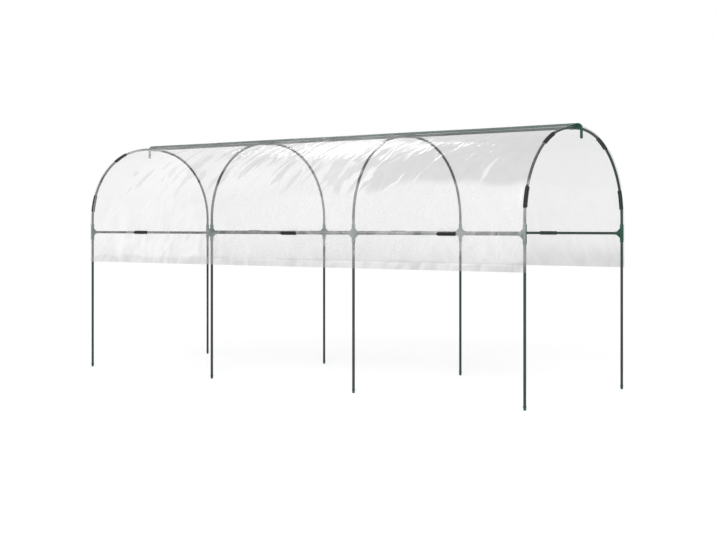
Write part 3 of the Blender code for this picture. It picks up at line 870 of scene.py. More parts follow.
def build_hoop_clips():
    """Bent clips on the end hoops, two on each side that has them."""
    half = CLIP_LENGTH / 2 / SHOULDER_R
    for side, way in SIDES.items():
        for height, middle in HOOP_CLIPS.items():
            for number in CLIPPED_HOOPS[side]:
                x = HOOPS[number - 1]
                centre = Vector((x, way * (HALF_SPAN - SHOULDER_R), SPRING))
                turn = middle - half
                out = Vector((0, way * math.cos(turn), math.sin(turn)))
                along = Vector((0, -way * math.sin(turn), math.cos(turn)))
                bm = bmesh.new()
                first = clip_start(bm, centre + out * SHOULDER_R, out, along)
                last = swing(bm, first, centre, (1, 0, 0), way * 2 * half, CLIP_BEND_STEPS)
                clip_caps(bm, first, last)
                target = f"hoop_clip_{side}_{height}_{number}"
                solid_piece(bm, f"hoop_grip_{side}_{height}_{number}", [target], "clip_black")


# Film

# Points of the film's section over the shoulder and over the ridge pole
SHOULDER_POINTS = 60
POLE_POINTS = 5

# Folds of the film: shares of their count in the upper part of each bay, in its lower part and at the
# hem, and in the same order ranges of their angle in degrees, length, width and share of full height
BUSY_BAYS = (0.55, 1.0, 0.8)
LOWER_FOLDS = 0.5
HEM_FOLDS = 0.25
FOLD_RANGES = (
    ((30, 66), (0.05, 0.17), (0.008, 0.020), (0.5, 1.5)),
    ((20, 70), (0.05, 0.15), (0.012, 0.030), (0.10, 0.35)),
    ((35, 75), (0.03, 0.07), (0.010, 0.018), (0.3, 0.8)),
)
# How far the upper folds keep from their bay's first and last hoop, and from the spring and the ridge
CLEAR_START = 0.05
CLEAR_END = 0.02
CLEAR_SPRING = 0.12
CLEAR_RIDGE = 0.08
# How far above the spring the lower folds reach, and above the hem those at the hem
LOWER_REACH = 0.1
HEM_REACH = 0.09
# Most bow of a fold, and how many of its own lengths and widths it is drawn over
FOLD_BOW = 0.6
FOLD_LENGTHS = 2.2
FOLD_WIDTHS = 3

# How full the sag is, and the slow waves: radians per metre along and up, and where they start
SAG_POWER = 0.7
SWELL_RATES = ((9.1, 3.0), (-2.2, 7.0))
SWELL_START = 1.0
# Share of the slow waves below the spring, and the width in which the rest joins them
SWELL_LOW = 0.35
SWELL_RISE = 0.25
# Widths beside a tube in which the film lies on it, in which the folds fade, and in which the sag and
# the slow waves do
HOLD = 0.012
RIDGE_HOLD = 0.05
TAUT = 0.022
STILL = 0.05
# Shares that a hoop and a rail take from the folds, and the hold from which the film can't sink in
HOOP_CALM = 0.8
RAIL_CALM = 0.9
FIRM = 0.3
# The film's slope off a connector: its start and width beside a collar, and its width past the end
COLLAR_SLOPE = (0.010, 0.035)
COLLAR_END_SLOPE = 0.05


def film_section(x, snug):
    """Points of the film's front half at x, from the hem to the top of the pole."""
    wall = [(-HALF_SPAN - snug, z) for z in (HEM, SPRING)]
    centre = SHOULDER_R - HALF_SPAN
    radius = SHOULDER_R + snug
    turns = np.linspace(0, SHOULDER_TURN, SHOULDER_POINTS)[1:]
    arc = [(centre - radius * math.cos(turn), SPRING + radius * math.sin(turn)) for turn in turns]
    lean = math.acos(CROWN_R / (CROWN_R + POLE_LIFT))
    pole = pole_height(x)
    leans = np.linspace(lean, 0, POLE_POINTS)
    top = [(-snug * math.sin(turn), pole + snug * math.cos(turn)) for turn in leans]
    return np.array(wall + arc + top)


def ramp_up(value, start, width):
    """0 up to a start and 1 from a width past it, with a smooth way between them."""
    share = np.clip((value - start) / width, 0, 1)
    return share * share * (3 - 2 * share)


def ramp_down(value, start, width):
    """1 up to a start and 0 from a width past it, with a smooth way between them."""
    return ramp_up(1 - (value - start) / width, 0, 1)


def bell(value, centre, width):
    """1 at a centre and falling to 0 on both sides of it."""
    return np.exp(-((value - centre) / width) ** 2)


def folds(x, up, draws, film, count, place, angle, length, width, height):
    """Heights of long narrow folds, drawn at random within ranges, at places on the film."""
    total = np.zeros_like(x)
    for _ in range(count):
        centre_x = draws.uniform(*place[0])
        centre_up = draws.uniform(*place[1])
        turn = math.radians(draws.uniform(*angle))
        reach = draws.uniform(*length)
        half = draws.uniform(*width)
        # Two folds in three stand out and one is a hollow
        rise = draws.uniform(*height) * draws.choice((1, 1, -1))
        bow = draws.uniform(-FOLD_BOW, FOLD_BOW)
        along = (x - centre_x) * math.cos(turn) + (up - centre_up) * math.sin(turn)
        across = (up - centre_up) * math.cos(turn) - (x - centre_x) * math.sin(turn)
        across = across + bow * along ** 2
        near = (np.abs(along) < FOLD_LENGTHS * reach) & (np.abs(across) < FOLD_WIDTHS * half)
        total[near] += rise * np.exp(-(across[near] / half) ** 2 - (along[near] / reach) ** 2)
    return total * film.crease_height


def film_relief(x, up, back, film):
    """How far the film stands out from its taut shape at points x along and up from the hem."""
    draws = np.random.default_rng(film.seed + int(back))
    rail = RAIL_HEIGHT - HEM
    spring = SPRING - HEM
    ridge = up.max()
    arch = np.clip((up - spring) / (ridge - spring), 0, 1)
    from_hoop = np.abs(x[..., None] - np.array(HOOPS)).min(axis=-1)
    bay_share = np.clip(from_hoop / (BAY / 2), 0, 1)
    sag = -film.sag * np.sin(math.pi * bay_share / 2) * np.sin(math.pi * arch) ** SAG_POWER
    first, second = (rate_x * x + rate_up * up for rate_x, rate_up in SWELL_RATES)
    swell = np.sin(first) * np.sin(second + SWELL_START + back)
    slack = SWELL_LOW + (1 - SWELL_LOW) * ramp_up(up, spring, SWELL_RISE)
    creases = np.zeros_like(x)
    for number, (start, end) in enumerate(zip(HOOPS, HOOPS[1:])):
        busy = BUSY_BAYS[number % len(BUSY_BAYS)]
        upper = ((start + CLEAR_START, end - CLEAR_END), (spring + CLEAR_SPRING, ridge - CLEAR_RIDGE))
        lower = ((start, end), (0.0, spring + LOWER_REACH))
        at_hem = ((start, end), (0.0, HEM_REACH))
        zones = ((busy, upper), (LOWER_FOLDS, lower), (HEM_FOLDS, at_hem))
        for (share, place), ranges in zip(zones, FOLD_RANGES):
            creases += folds(x, up, draws, film, int(film.crease_count * share), place, *ranges)
    taut = 1 - HOOP_CALM * bell(from_hoop, 0, TAUT)
    on_rail = bell(up, rail, HOLD)
    on_ridge = ramp_up(ridge - up, 0, RIDGE_HOLD)
    relief = (sag + film.swell * swell * slack) * (1 - on_rail) * on_ridge
    relief = relief * (1 - bell(from_hoop, 0, STILL))
    relief = relief + creases * taut * (1 - RAIL_CALM * on_rail) * on_ridge
    held = np.maximum.reduce([bell(from_hoop, 0, HOLD), on_rail, 1 - on_ridge])
    relief = np.where(held > FIRM, np.maximum(relief, 0), relief)
    # It stands out over the connectors, whose collars are thicker than the tubes
    level = np.abs(up - rail)
    post = ramp_down(from_hoop, *COLLAR_SLOPE) * ramp_down(level, SIDE_COLLAR, COLLAR_END_SLOPE)
    branch = ramp_down(level, *COLLAR_SLOPE) * ramp_down(from_hoop, RAIL_COLLAR, COLLAR_END_SLOPE)
    return relief + (COLLAR_R - TUBE_R) * np.maximum(post, branch)


# How far beside a clip the film is still pressed in, across its tube and past its ends
PRESS_ACROSS = 0.03
PRESS_ALONG = 0.006


def clip_spots(side):
    """Middle and half size of each clip on one side, along X and up the film."""
    half, round_tube = CLIP_LENGTH / 2, CLIP_INNER + CLIP_WALL
    for number in range(1, HOOP_COUNT):
        low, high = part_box(f"rail_clip_{side}_{number}")
        yield (low.x + high.x) / 2, RAIL_HEIGHT - HEM, half, round_tube
    for height, middle in HOOP_CLIPS.items():
        for number in CLIPPED_HOOPS[side]:
            if (height, number) == COVERED_CLIP:
                continue
            yield HOOPS[number - 1], SPRING - HEM + (SHOULDER_R + TUBE_R) * middle, round_tube, half


def clip_hold(x, up, side):
    """1 where a clip presses the film in round its tube, falling to 0 beside it."""
    hold = np.zeros_like(x)
    for spot_x, spot_up, half_x, half_up in clip_spots(side):
        beside = (np.abs(x - spot_x) - half_x, np.abs(up - spot_up) - half_up)
        along, across = np.clip(beside if half_x > half_up else beside[::-1], 0, None)
        near = ramp_down(across, 0, PRESS_ACROSS) * ramp_down(along, 0, PRESS_ALONG + across)
        hold = np.maximum(hold, near)
    return hold


def build_film():
    """The clear cover: one sheet over the hoops, rails and ridge pole, from hem to hem."""
    film = settings().film
    snug = TUBE_R + GAP
    start, end = HOOPS[0] - FILM_OVERHANG, HOOPS[-1] + FILM_OVERHANG
    columns = int((end - start) / film.step) + 1
    length = film_arc(film_section(0.0, snug))[-1]
    rows = 2 * int(length / film.step) + 1
    places = np.linspace(end, start, columns)
    half = rows // 2 + 1
    spots = np.empty((columns, rows, 3))
    ups = np.empty((columns, rows))
    for i, x in enumerate(places):
        section = film_section(x, snug)
        reach = film_arc(section)
        steps = np.linspace(0, reach[-1], half)
        y = np.interp(steps, reach, section[:, 0])
        z = np.interp(steps, reach, section[:, 1])
        spots[i, :, 0] = x
        spots[i, :half, 1] = y
        spots[i, half:, 1] = -y[-2::-1]
        spots[i, :half, 2] = z
        spots[i, half:, 2] = z[-2::-1]
        ups[i, :half] = steps
        ups[i, half:] = steps[-2::-1]
    slopes = np.gradient(spots[..., 1:], axis=1)
    normals = np.stack([np.zeros_like(ups), -slopes[..., 1], slopes[..., 0]], axis=-1)
    normals /= np.linalg.norm(normals, axis=-1, keepdims=True)
    relief = np.empty_like(ups)
    held = np.empty_like(ups)
    for side, part in (("front", slice(0, half)), ("back", slice(half - 1, rows))):
        x, up = spots[:, part, 0], ups[:, part]
        held[:, part] = clip_hold(x, up, side)
        relief[:, part] = film_relief(x, up, side == "back", film) - held[:, part] * (snug + film.pinch)
    spots += normals * relief[..., None]
    bm = bmesh.new()
    bmesh.ops.create_grid(bm, x_segments=rows - 1, y_segments=columns - 1, size=1.0)
    mesh = bpy.data.meshes.new("Film sheet")
    bm.to_mesh(mesh)
    bm.free()
    mesh.vertices.foreach_set("co", spots.reshape(-1))
    add_film_maps(mesh, spots, ups, held, half, film)
    mesh.shade_smooth()
    mesh.update()
    piece = dress(mesh, "film_sheet", ["film_cover"], "cover_film")
    rests = [f"hoop_tube_{n}" for n in range(1, HOOP_COUNT + 1)]
    rests += [f"rail_tube_{side}_{n}" for side in SIDES for n in range(1, HOOP_COUNT)]
    rests += ["pole_middle", "pole_end_1", "pole_end_2"]


def film_arc(section):
    """Distance along a section's points from its first."""
    return np.concatenate([[0.0], np.cumsum(np.linalg.norm(np.diff(section, axis=0), axis=1))])


# Zones of the film's look. A pair is where a zone starts and the width of its soft edge, and a single
# number is that width. ALONG is a share of the way from the first hoop to the last, TURN an angle up
# the shoulder, and the others are metres. Waves have a height, radians per metre and a start.
# Most of these zones place the film's painted shade and painted highlights.
GREY_ALONG = (0.55, 0.30)
GREY_LOWER = 0.12    # radians that the grey starts lower in the first bays
GREY_WAVES = ((0.035, 7.3, 1.0), (0.020, 17.0, 0.0))
GREY_TURN = 0.12
TAPER_TURN = 0.45
STREAKS_ALONG = (0.04, 0.22)
ROOF_MIDDLE = 0.36
TOP_TURN = 0.10
GLARE_TURN = 0.15
PATCH_TURN = (0.98, 0.04)
PATCH_OUT = (1.19, 0.03)
HEM_WAVES = ((0.005, 9.0, 0.0), (0.004, 26.0, 0.0))
HEM_EDGE = 0.02
LOW_BAND = 0.11
RIM_WIDTH = 0.004
RIM_TURN = 0.2
OVER_RAIL = 0.04
DIP_ALONG = (0.28, 0.07)
CLOUDS_ALONG = 0.04
CRUMPLE_TURN = (0.1, 0.5)
CRUMPLE_BELL = (0.1, 1.1)
BACK_SEEN = (0.85, 0.12)
BACK_CLEAR_ALONG = 0.4
# Pairs of a value and of what it gains along the tunnel, up the shoulder or over a zone's edge
# All but the last set painted shade: towards the hem, along the tunnel and lower on the back
HEM_PAINTED_SHADE_RANGE = (0.42, 0.78)
FRONT_TONE = (0.963, -0.008)
BACK_TONE = (1.25, -0.39)
BACK_SEEN_RANGE = (0.3, 0.7)
BACK_HEIGHT_RANGE = (0.88, 0.17)
CRUMPLE_RANGE = (0.03, 0.97)
# Shares that the place over the rail, the glare and the grey shoulder take from other effects
RAIL_TAKES = 0.5
GLARE_TAKES = 0.5
MIDDLE_TAKES = 0.45
SHOULDER_TAKES = 0.7
# Light that the middle of the roof has besides its glare, as a share of it
MIDDLE_GLARE = 0.8


def share_along(x):
    """Share of the way from the first hoop to the last."""
    return np.clip((x - HOOPS[0]) / (HOOPS[-1] - HOOPS[0]), 0, 1)


def turn_at(up):
    """Turn of the shoulder at a way up the film, as if the shoulder went on to the ridge."""
    return np.clip((up - (SPRING - HEM)) / SHOULDER_R, 0, None)


def between(ends, share):
    """The first value and a share of what it gains."""
    return ends[0] + ends[1] * share


def waves(x, base, parts):
    """A base with waves on it."""
    return sum((height * np.sin(rate * x + start) for height, rate, start in parts), base)


def cut_rim(x, turn):
    """1 at the film's two cut ends over the shoulders: the place of a lighter rim, a painted highlight that
    is partly the cut edge's own whiteness.
    """
    return ramp_down(np.minimum(x - x.min(), x.max() - x), 0, RIM_WIDTH) * ramp_up(turn, 0, RIM_TURN)


def front_masks(x, up, held, film):
    """Masks for the film's tone with its painted shade and painted highlights, its streaks and its haze, as
    the front has them.
    """
    turn = turn_at(up)
    along = share_along(x)
    # Painted shade: grey streaks in the middle bay, and grey all over from there to the last hoop
    whole = ramp_up(along, *GREY_ALONG)
    start = film.shoulder_start - GREY_LOWER * (1 - whole) + waves(x, 0.0, GREY_WAVES)
    shoulder = ramp_up(turn, start, GREY_TURN)
    taper = ramp_up(turn, start, TAPER_TURN)
    cover = whole + (1 - whole) * film.streaks * ramp_up(along, *STREAKS_ALONG) * taper
    # Painted highlights: light on the ridge, lowest at the middle of the roof, and on a patch over the first
    # hoop
    middle = bell(x, film.bright_middle, ROOF_MIDDLE)
    top = ramp_up(turn, film.ridge_start, TOP_TURN)
    patch = ramp_up(turn, *PATCH_TURN) * ramp_up(-x, *PATCH_OUT)
    glare = ramp_up(turn, film.ridge_start - film.bright_drop * middle, GLARE_TURN)
    glare = np.maximum(glare, patch)
    # Painted shade darker towards the hem, and a lighter rim at the film's two cut ends, a painted highlight
    # that is partly the cut edge's own whiteness
    hem = ramp_up(waves(x, film.front_hem, HEM_WAVES) - up, 0, HEM_EDGE)
    dulling_and_painted_shade = film.front_hem_painted_shade * hem + film.low_painted_shade * ramp_down(up, 0, LOW_BAND)
    dulling_and_painted_shade = dulling_and_painted_shade * between(HEM_PAINTED_SHADE_RANGE, along)
    # Painted shade before the second hoop, less above the rail, and painted highlights where the film glares
    # and on the middle of the roof
    over_rail = ramp_up(up, RAIL_HEIGHT - HEM, OVER_RAIL)
    dip = film.bay_painted_shade * bell(along, *DIP_ALONG) * (1 - RAIL_TAKES * over_rail) * (1 - hem)
    light = film.glare * (glare + MIDDLE_GLARE * middle * over_rail * (1 - shoulder) * (1 - glare))
    # Painted highlights between the streaks, full where half the shoulder is grey
    gaps = film.gap_light * shoulder * 4 * cover * (1 - cover)
    clouds = film.clouds * (1 - RAIL_TAKES * over_rail) * (1 - SHOULDER_TAKES * shoulder)
    crumpled = ramp_up(turn, *CRUMPLE_TURN)
    ends = (film.rim * cut_rim(x, turn) + film.glare * patch * (1 - top)) * (1 - held)
    return {
        "shoulder": shoulder * (1 - GLARE_TAKES * glare) * (1 - MIDDLE_TAKES * middle ** 3),
        "cover": cover,
        "mottle": clouds * ramp_up(along, 0, CLOUDS_ALONG),
        "crumple": CRUMPLE_RANGE[0] + CRUMPLE_RANGE[1] * crumpled * bell(x, *CRUMPLE_BELL),
        "tone": between(FRONT_TONE, along) - dulling_and_painted_shade - dip + light + gaps,
        "veil": film.hem_haze * 2 * hem - film.ridge_clear * top + ends,
    }


def back_painted_shade(x, up, film):
    """Painted shade of the back, which the photograph shows through the front: lighter higher up and towards
    the first hoop, darker towards the hem.
    """
    low = ramp_down(up, 0, film.back_hem)
    seen = between(BACK_SEEN_RANGE, ramp_up(x, *BACK_SEEN))
    height = between(BACK_HEIGHT_RANGE, ramp_up(turn_at(up), 0, 1))
    return film.back_painted_shade * height * between(BACK_TONE, share_along(x)) - film.back_hem_painted_shade * low * seen


def back_veil(x, up, held, film):
    """Haze that the back has more or less than the film's own."""
    clear = film.back_clear * (1 - ramp_up(share_along(x), 0, BACK_CLEAR_ALONG))
    # The rim at the cut ends is a painted highlight, partly the cut edge's own whiteness
    rim = film.rim * cut_rim(x, turn_at(up)) * (1 - held)
    return film.hem_haze * ramp_down(up, 0, film.back_hem) - clear + rim


def add_film_maps(mesh, spots, ups, held, half, film):
    """The film's UV map in metres, and masks for its tone with painted shade and painted highlights, its
    streaks and its haze.
    """
    x = spots[..., 0]
    masks = front_masks(x, ups, held, film)
    back = (slice(None), slice(half, None))
    masks["shoulder"][back] *= film.back_share
    masks["mottle"][back] *= film.back_share
    masks["tone"][back] = back_painted_shade(x[back], ups[back], film)
    masks["veil"][back] = back_veil(x[back], ups[back], held[back], film)
    for name, values in masks.items():
        mask = mesh.attributes.new(name, "FLOAT", "POINT")
        mask.data.foreach_set("value", values.reshape(-1))
    across = ups.copy()
    across[back] = 2 * ups.max() - across[back]
    flat = np.stack([x, across], axis=-1).reshape(-1, 2)
    loops = np.empty(len(mesh.loops), dtype=np.int32)
    mesh.loops.foreach_get("vertex_index", loops)
    sheet = mesh.uv_layers.new(name="Film")
    sheet.data.foreach_set("uv", flat[loops].reshape(-1))


# Stage

def build_floor():
    stage = settings().stage
    bm = bmesh.new()
    bmesh.ops.create_grid(bm, x_segments=1, y_segments=1, size=FLOOR_HALF)
    mesh = bpy.data.meshes.new("Floor")
    bm.to_mesh(mesh)
    bm.free()
    material, tree, shader = new_material("pale_floor")
    set_plain(shader, {"Roughness": 0.9, "Specular IOR Level": 0.0, "Emission Color": WHITE})
    # Less glow and less colour where the front lamp itself makes the floor white
    lit = lamp_light(tree)
    shade = spread(tree, lit, *COLOUR_SPARED, 1.0, COLOUR_KEPT)
    feed(tree, blend_colours(tree, shade, (0, 0, 0), stage.floor_colour), shader.inputs["Base Color"])
    away = vector_maths(tree, "LENGTH", place_on_object(tree))["Value"]
    glow = spread(tree, away, *GLOW_AWAY, stage.floor_glow, stage.far_glow)
    spare = spread(tree, lit, *GLOW_SPARED, 0.0, stage.far_glow)
    glow = calculate(tree, "SUBTRACT", glow, spare, clamp=True)
    feed(tree, calculate(tree, "MULTIPLY", seen_rays(tree), glow), shader.inputs["Emission Strength"])
    mesh.materials.append(material)
    link(bpy.data.objects.new("Floor", mesh))


def lamp_light(tree):
    """How much light the front lamp throws on the floor."""
    aim = (Vector(FRONT_TARGET) - Vector(FRONT_LAMP)).normalized()
    ray = vector_maths(tree, "SUBTRACT", place_on_object(tree), FRONT_LAMP)["Vector"]
    ahead = vector_maths(tree, "DOT_PRODUCT", ray, aim)["Value"]
    reach = vector_maths(tree, "LENGTH", ray)["Value"]
    # The slants on the lamp and on the floor make the square of the distance its fourth power
    light = calculate(tree, "DIVIDE", ahead, calculate(tree, "POWER", reach, 4.0))
    return calculate(tree, "MULTIPLY", light, settings().stage.lamp_reach)


def seen_rays(tree):
    """1 for the rays that show the background: straight, mirrored or let through."""
    path = node(tree, "ShaderNodeLightPath")
    seen = calculate(tree, "MAXIMUM", path.outputs["Is Camera Ray"], path.outputs["Is Glossy Ray"])
    return calculate(tree, "MAXIMUM", seen, path.outputs["Is Transmission Ray"])


def build_world():
    world = bpy.data.worlds.new("Pale studio")
    bpy.context.scene.world = world
    world.use_nodes = True
    tree = world.node_tree
    background = tree.nodes["Background"]
    background.inputs["Color"].default_value = WHITE
    strength = spread(tree, seen_rays(tree), 0, 1, settings().stage.world_light, 1.0)
    feed(tree, strength, background.inputs["Strength"])


def add_lamp(name, place, target, size, power):
    light = bpy.data.lights.new(name, "AREA")
    light.shape = "RECTANGLE"
    light.size, light.size_y = size
    light.energy = power
    lamp = link(bpy.data.objects.new(name, light))
    lamp.location = place
    lamp.rotation_euler = (Vector(target) - Vector(place)).to_track_quat("-Z", "Y").to_euler()
    return lamp


def build_lights():
    stage = settings().stage
    add_lamp("Front softbox", FRONT_LAMP, FRONT_TARGET, FRONT_SIZE, stage.front_power)
    glint = add_lamp("Roof softbox", ROOF_LAMP, ROOF_TARGET, ROOF_SIZE, stage.roof_power)
    glint.visible_diffuse = False


def build_camera():
    camera = bpy.data.cameras.new("Camera")
    camera.sensor_width = SENSOR_WIDTH
    camera.lens = FOCAL_PIXELS / PICTURE_WIDTH * SENSOR_WIDTH
    camera.shift_y = (HORIZON_PIXEL - PICTURE_HEIGHT / 2) / PICTURE_WIDTH
    eye = link(bpy.data.objects.new("Camera", camera))
    eye.location = CAMERA_PLACE
    eye.rotation_euler = (math.pi / 2, 0.0, CAMERA_TURN)
    bpy.context.scene.camera = eye


# Sizes and colours that a user can change

class FilmSettings(bpy.types.PropertyGroup):
    step: FloatProperty(
        name="Mesh step", description="Spacing of the film's mesh", default=0.009, unit="LENGTH")
    sag: FloatProperty(
        name="Sag", description="How far the film hangs in between two hoops", default=0.003,
        unit="LENGTH")
    swell: FloatProperty(
        name="Swell", description="Height of the film's slow waves", default=0.0018, unit="LENGTH")
    crease_count: IntProperty(
        name="Creases", description="Folds in the upper half of the busiest bay, on each side",
        default=60)
    crease_height: FloatProperty(
        name="Crease height", description="Height of a middling fold", default=0.0013, unit="LENGTH")
    seed: IntProperty(name="Seed", description="Start of the random draws for the folds", default=4)
    slant: FloatProperty(
        name="Slant", description="Way in which the streaks run, from the ridge's direction",
        default=math.radians(62), subtype="ANGLE")
    crumple_height: FloatProperty(
        name="Crumple height", description="Height of the streaks' relief", default=0.013, unit="LENGTH")
    haze: FloatProperty(
        name="Haze", description="Share of light that the film stops", default=0.28, subtype="FACTOR")
    shade: FloatProperty(
        name="Shade", description="Lightness of the film's own haze", default=0.85, subtype="FACTOR")
    shoulder_start: FloatProperty(
        name="Shoulder start", description="Turn of the hoop where the greyer zone starts",
        default=math.radians(20), subtype="ANGLE")
    # Painted shade on the shoulder
    shoulder_shade: FloatProperty(
        name="Shoulder shade", description="The greyer zone's lightness as a share of the rest",
        default=0.27, subtype="FACTOR")
    shoulder_clear: FloatProperty(
        name="Shoulder clearness", description="Haze that the greyer zone lacks", default=0.06,
        subtype="FACTOR")
    # How much of the middle bay's shoulder has painted shade
    streaks: FloatProperty(
        name="Streaks", description="Share of the middle bay's shoulder that is grey", default=0.36,
        subtype="FACTOR")
    # Width of the band of painted shade and haze above the front hem
    front_hem: FloatProperty(
        name="Front hem", description="Width of the dull band above the front hem", default=0.050,
        unit="LENGTH")
    # Painted shade towards the front hem
    front_hem_painted_shade: FloatProperty(
        name="Front dullness", description="Lightness that the front hem lacks", default=0.30,
        subtype="FACTOR")
    # Painted shade that grows towards the front hem
    low_painted_shade: FloatProperty(
        name="Low dullness", description="Lightness that the film lacks more and more towards the front hem",
        default=0.20, subtype="FACTOR")
    # Painted shade before the second hoop
    bay_painted_shade: FloatProperty(
        name="Bay dullness", description="Lightness that the front lacks before the second hoop",
        default=0.28, subtype="FACTOR")
    back_clear: FloatProperty(
        name="Back clearness", description="Haze that the back lacks at the first hoop", default=0.14,
        subtype="FACTOR")
    back_share: FloatProperty(
        name="Back share", description="Strength of the greyer zone on the back", default=0.25,
        subtype="FACTOR")
    # Painted shade: the back is darker than the front
    back_painted_shade: FloatProperty(
        name="Back tone", description="Lightness of the back as a share of the front", default=0.79,
        subtype="FACTOR")
    # Width of the band of painted shade and haze above the back hem
    back_hem: FloatProperty(
        name="Back hem", description="Width of the dull band above the back hem", default=0.19,
        unit="LENGTH")
    # Painted shade towards the back hem
    back_hem_painted_shade: FloatProperty(
        name="Back dullness", description="Lightness that the back hem lacks", default=0.48,
        subtype="FACTOR")
    hem_haze: FloatProperty(
        name="Hem haze", description="Haze that a hem adds", default=0.09, subtype="FACTOR")
    ridge_start: FloatProperty(
        name="Ridge start", description="Turn of the hoop above which the film glares along the ridge",
        default=math.radians(76), subtype="ANGLE")
    # Painted highlights between the grey streaks
    gap_light: FloatProperty(
        name="Gap light", description="Light that the film gains between its grey streaks", default=0.28,
        subtype="FACTOR")
    clouds: FloatProperty(
        name="Clouds", description="How far its haze varies from place to place", default=0.13,
        subtype="FACTOR")
    ridge_clear: FloatProperty(
        name="Ridge clearness", description="Haze that the film lacks along the ridge", default=0.10,
        subtype="FACTOR")
    bright_drop: FloatProperty(
        name="Bright drop", description="How much lower that starts where the middle of the roof glares",
        default=math.radians(33), subtype="ANGLE")
    bright_middle: FloatProperty(
        name="Bright middle", description="Where on X the roof glares most", default=0.27, unit="LENGTH")
    # Painted highlights where the film glares
    glare: FloatProperty(
        name="Glare", description="Light and haze that the film gains where it glares", default=0.20,
        subtype="FACTOR")
    # A painted highlight at the cut ends, partly the cut edge's own whiteness
    rim: FloatProperty(
        name="Rim", description="Haze that the film's two cut ends add", default=0.15, subtype="FACTOR")
    pinch: FloatProperty(
        name="Pinch", description="How far past a tube's face a clip draws the film", default=0.0015,
        unit="LENGTH")


class StageSettings(bpy.types.PropertyGroup):
    floor_colour: FloatVectorProperty(
        name="Floor", description="Colour of the floor", default=(0.80, 0.80, 0.80), subtype="COLOR")
    floor_glow: FloatProperty(
        name="Floor glow", description="Light that the floor adds for the camera alone", default=0.52)
    far_glow: FloatProperty(
        name="Far glow", description="The same far from the greenhouse", default=0.64)
    lamp_reach: FloatProperty(
        name="Lamp reach",
        description="How much of the floor's glow the front lamp's own light replaces", default=60.0)
    world_light: FloatProperty(
        name="World light", description="Strength of the soft light from all round", default=0.45)
    front_power: FloatProperty(
        name="Front softbox", description="Power of the front lamp", default=215.0, unit="POWER")
    roof_power: FloatProperty(
        name="Roof softbox", description="Power of the lamp that glints on the film", default=60.0,
        unit="POWER")


class GreenhouseSettings(bpy.types.PropertyGroup):
    tube_sides: IntProperty(
        name="Tube sides", description="Sides of a round piece", default=24, min=8, max=64)
    bend_steps: IntProperty(
        name="Bend steps", description="Steps of a hoop's shoulder", default=44, min=8)
    clip_steps: IntProperty(
        name="Clip steps", description="Steps round a clip", default=24, min=8)
    edge: FloatProperty(
        name="Edge", description="Rounding of a moulding's rims", default=0.0008, unit="LENGTH")
    tube_colour: FloatVectorProperty(
        name="Tube", description="Colour of the coated tubes", default=(0.028, 0.047, 0.038),
        subtype="COLOR")
    moulding_colour: FloatVectorProperty(
        name="Fittings", description="Colour of the moulded fittings", default=(0.018, 0.072, 0.045),
        subtype="COLOR")
    ridge_colour: FloatVectorProperty(
        name="Ridge pole", description="Colour of the ridge pole", default=(0.004, 0.062, 0.036),
        subtype="COLOR")
    clip_colour: FloatVectorProperty(
        name="Clips", description="Colour of the film clips", default=(0.007, 0.008, 0.008),
        subtype="COLOR")
    film: PointerProperty(type=FilmSettings)
    stage: PointerProperty(type=StageSettings)


# Operators

class GREENHOUSE_OT_stage(bpy.types.Operator):
    """Set the floor, the world, the lamps and the camera"""
    bl_idname = "greenhouse.stage"
    bl_label = "Stage"

    def execute(self, context):
        context.scene.view_settings.view_transform = "Standard"
        build_floor()
        build_world()
        build_lights()
        build_camera()
        return {"FINISHED"}


class GREENHOUSE_OT_legs(bpy.types.Operator):
    """Make the legs and the caps on their feet"""
    bl_idname = "greenhouse.legs"
    bl_label = "Legs"

    def execute(self, context):
        build_legs()
        build_foot_caps()
        return {"FINISHED"}


class GREENHOUSE_OT_hoops(bpy.types.Operator):
    """Bend the hoops"""
    bl_idname = "greenhouse.hoops"
    bl_label = "Hoops"

    def execute(self, context):
        build_hoops()
        return {"FINISHED"}


class GREENHOUSE_OT_rails(bpy.types.Operator):
    """Lay the side rails and the ridge rails"""
    bl_idname = "greenhouse.rails"
    bl_label = "Rails"

    def execute(self, context):
        build_rails()
        return {"FINISHED"}


class GREENHOUSE_OT_connectors(bpy.types.Operator):
    """Mould the connectors on the legs and on the crowns of the hoops"""
    bl_idname = "greenhouse.connectors"
    bl_label = "Connectors"

    def execute(self, context):
        build_side_connectors()
        build_ridge_connectors()
        return {"FINISHED"}


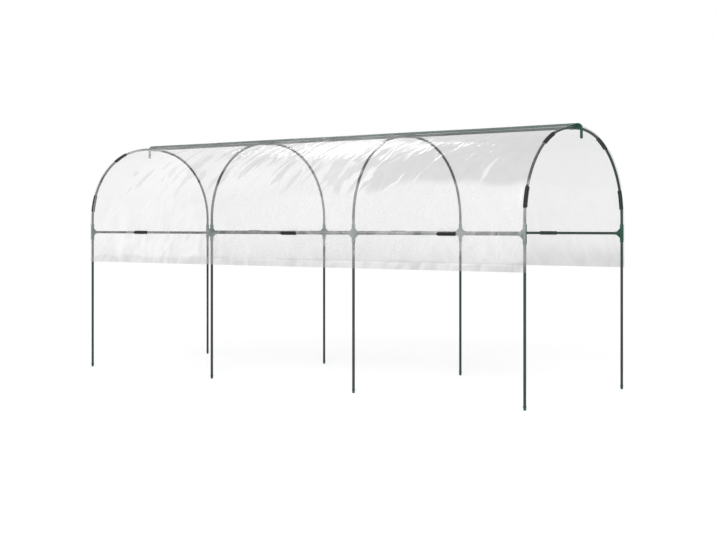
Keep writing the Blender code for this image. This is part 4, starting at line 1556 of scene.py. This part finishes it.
class GREENHOUSE_OT_ridge_pole(bpy.types.Operator):
    """Lay the ridge pole with its two hooks"""
    bl_idname = "greenhouse.ridge_pole"
    bl_label = "Ridge pole"

    def execute(self, context):
        build_ridge_pole()
        return {"FINISHED"}


class GREENHOUSE_OT_film(bpy.types.Operator):
    """Stretch the clear film over the frame"""
    bl_idname = "greenhouse.film"
    bl_label = "Film"

    def execute(self, context):
        build_film()
        return {"FINISHED"}


class GREENHOUSE_OT_clips(bpy.types.Operator):
    """Snap the clips over the film"""
    bl_idname = "greenhouse.clips"
    bl_label = "Clips"

    def execute(self, context):
        build_rail_clips()
        build_hoop_clips()
        return {"FINISHED"}


class GREENHOUSE_PT_pieces(bpy.types.Panel):
    """The greenhouse's pieces, in the order in which they are made"""
    bl_label = "Tunnel Greenhouse"
    bl_idname = "GREENHOUSE_PT_pieces"
    bl_space_type = "VIEW_3D"
    bl_region_type = "UI"
    bl_category = "Greenhouse"

    def draw(self, context):
        for operator in OPERATORS:
            self.layout.operator(operator.bl_idname)
        for name in ("tube_colour", "moulding_colour", "ridge_colour", "clip_colour"):
            self.layout.prop(context.scene.greenhouse, name)


OPERATORS = (
    GREENHOUSE_OT_stage,
    GREENHOUSE_OT_legs,
    GREENHOUSE_OT_hoops,
    GREENHOUSE_OT_rails,
    GREENHOUSE_OT_connectors,
    GREENHOUSE_OT_ridge_pole,
    GREENHOUSE_OT_film,
    GREENHOUSE_OT_clips,
)
CLASSES = (FilmSettings, StageSettings, GreenhouseSettings, *OPERATORS, GREENHOUSE_PT_pieces)


def register():
    for item in CLASSES:
        bpy.utils.register_class(item)
    bpy.types.Scene.greenhouse = PointerProperty(type=GreenhouseSettings)


def unregister():
    del bpy.types.Scene.greenhouse
    for item in reversed(CLASSES):
        bpy.utils.unregister_class(item)


def main():
    register()
    bpy.ops.greenhouse.stage()
    bpy.ops.greenhouse.legs()
    bpy.ops.greenhouse.hoops()
    bpy.ops.greenhouse.rails()
    bpy.ops.greenhouse.connectors()
    bpy.ops.greenhouse.ridge_pole()
    bpy.ops.greenhouse.film()
    bpy.ops.greenhouse.clips()


if __name__ == "__main__":
    main()
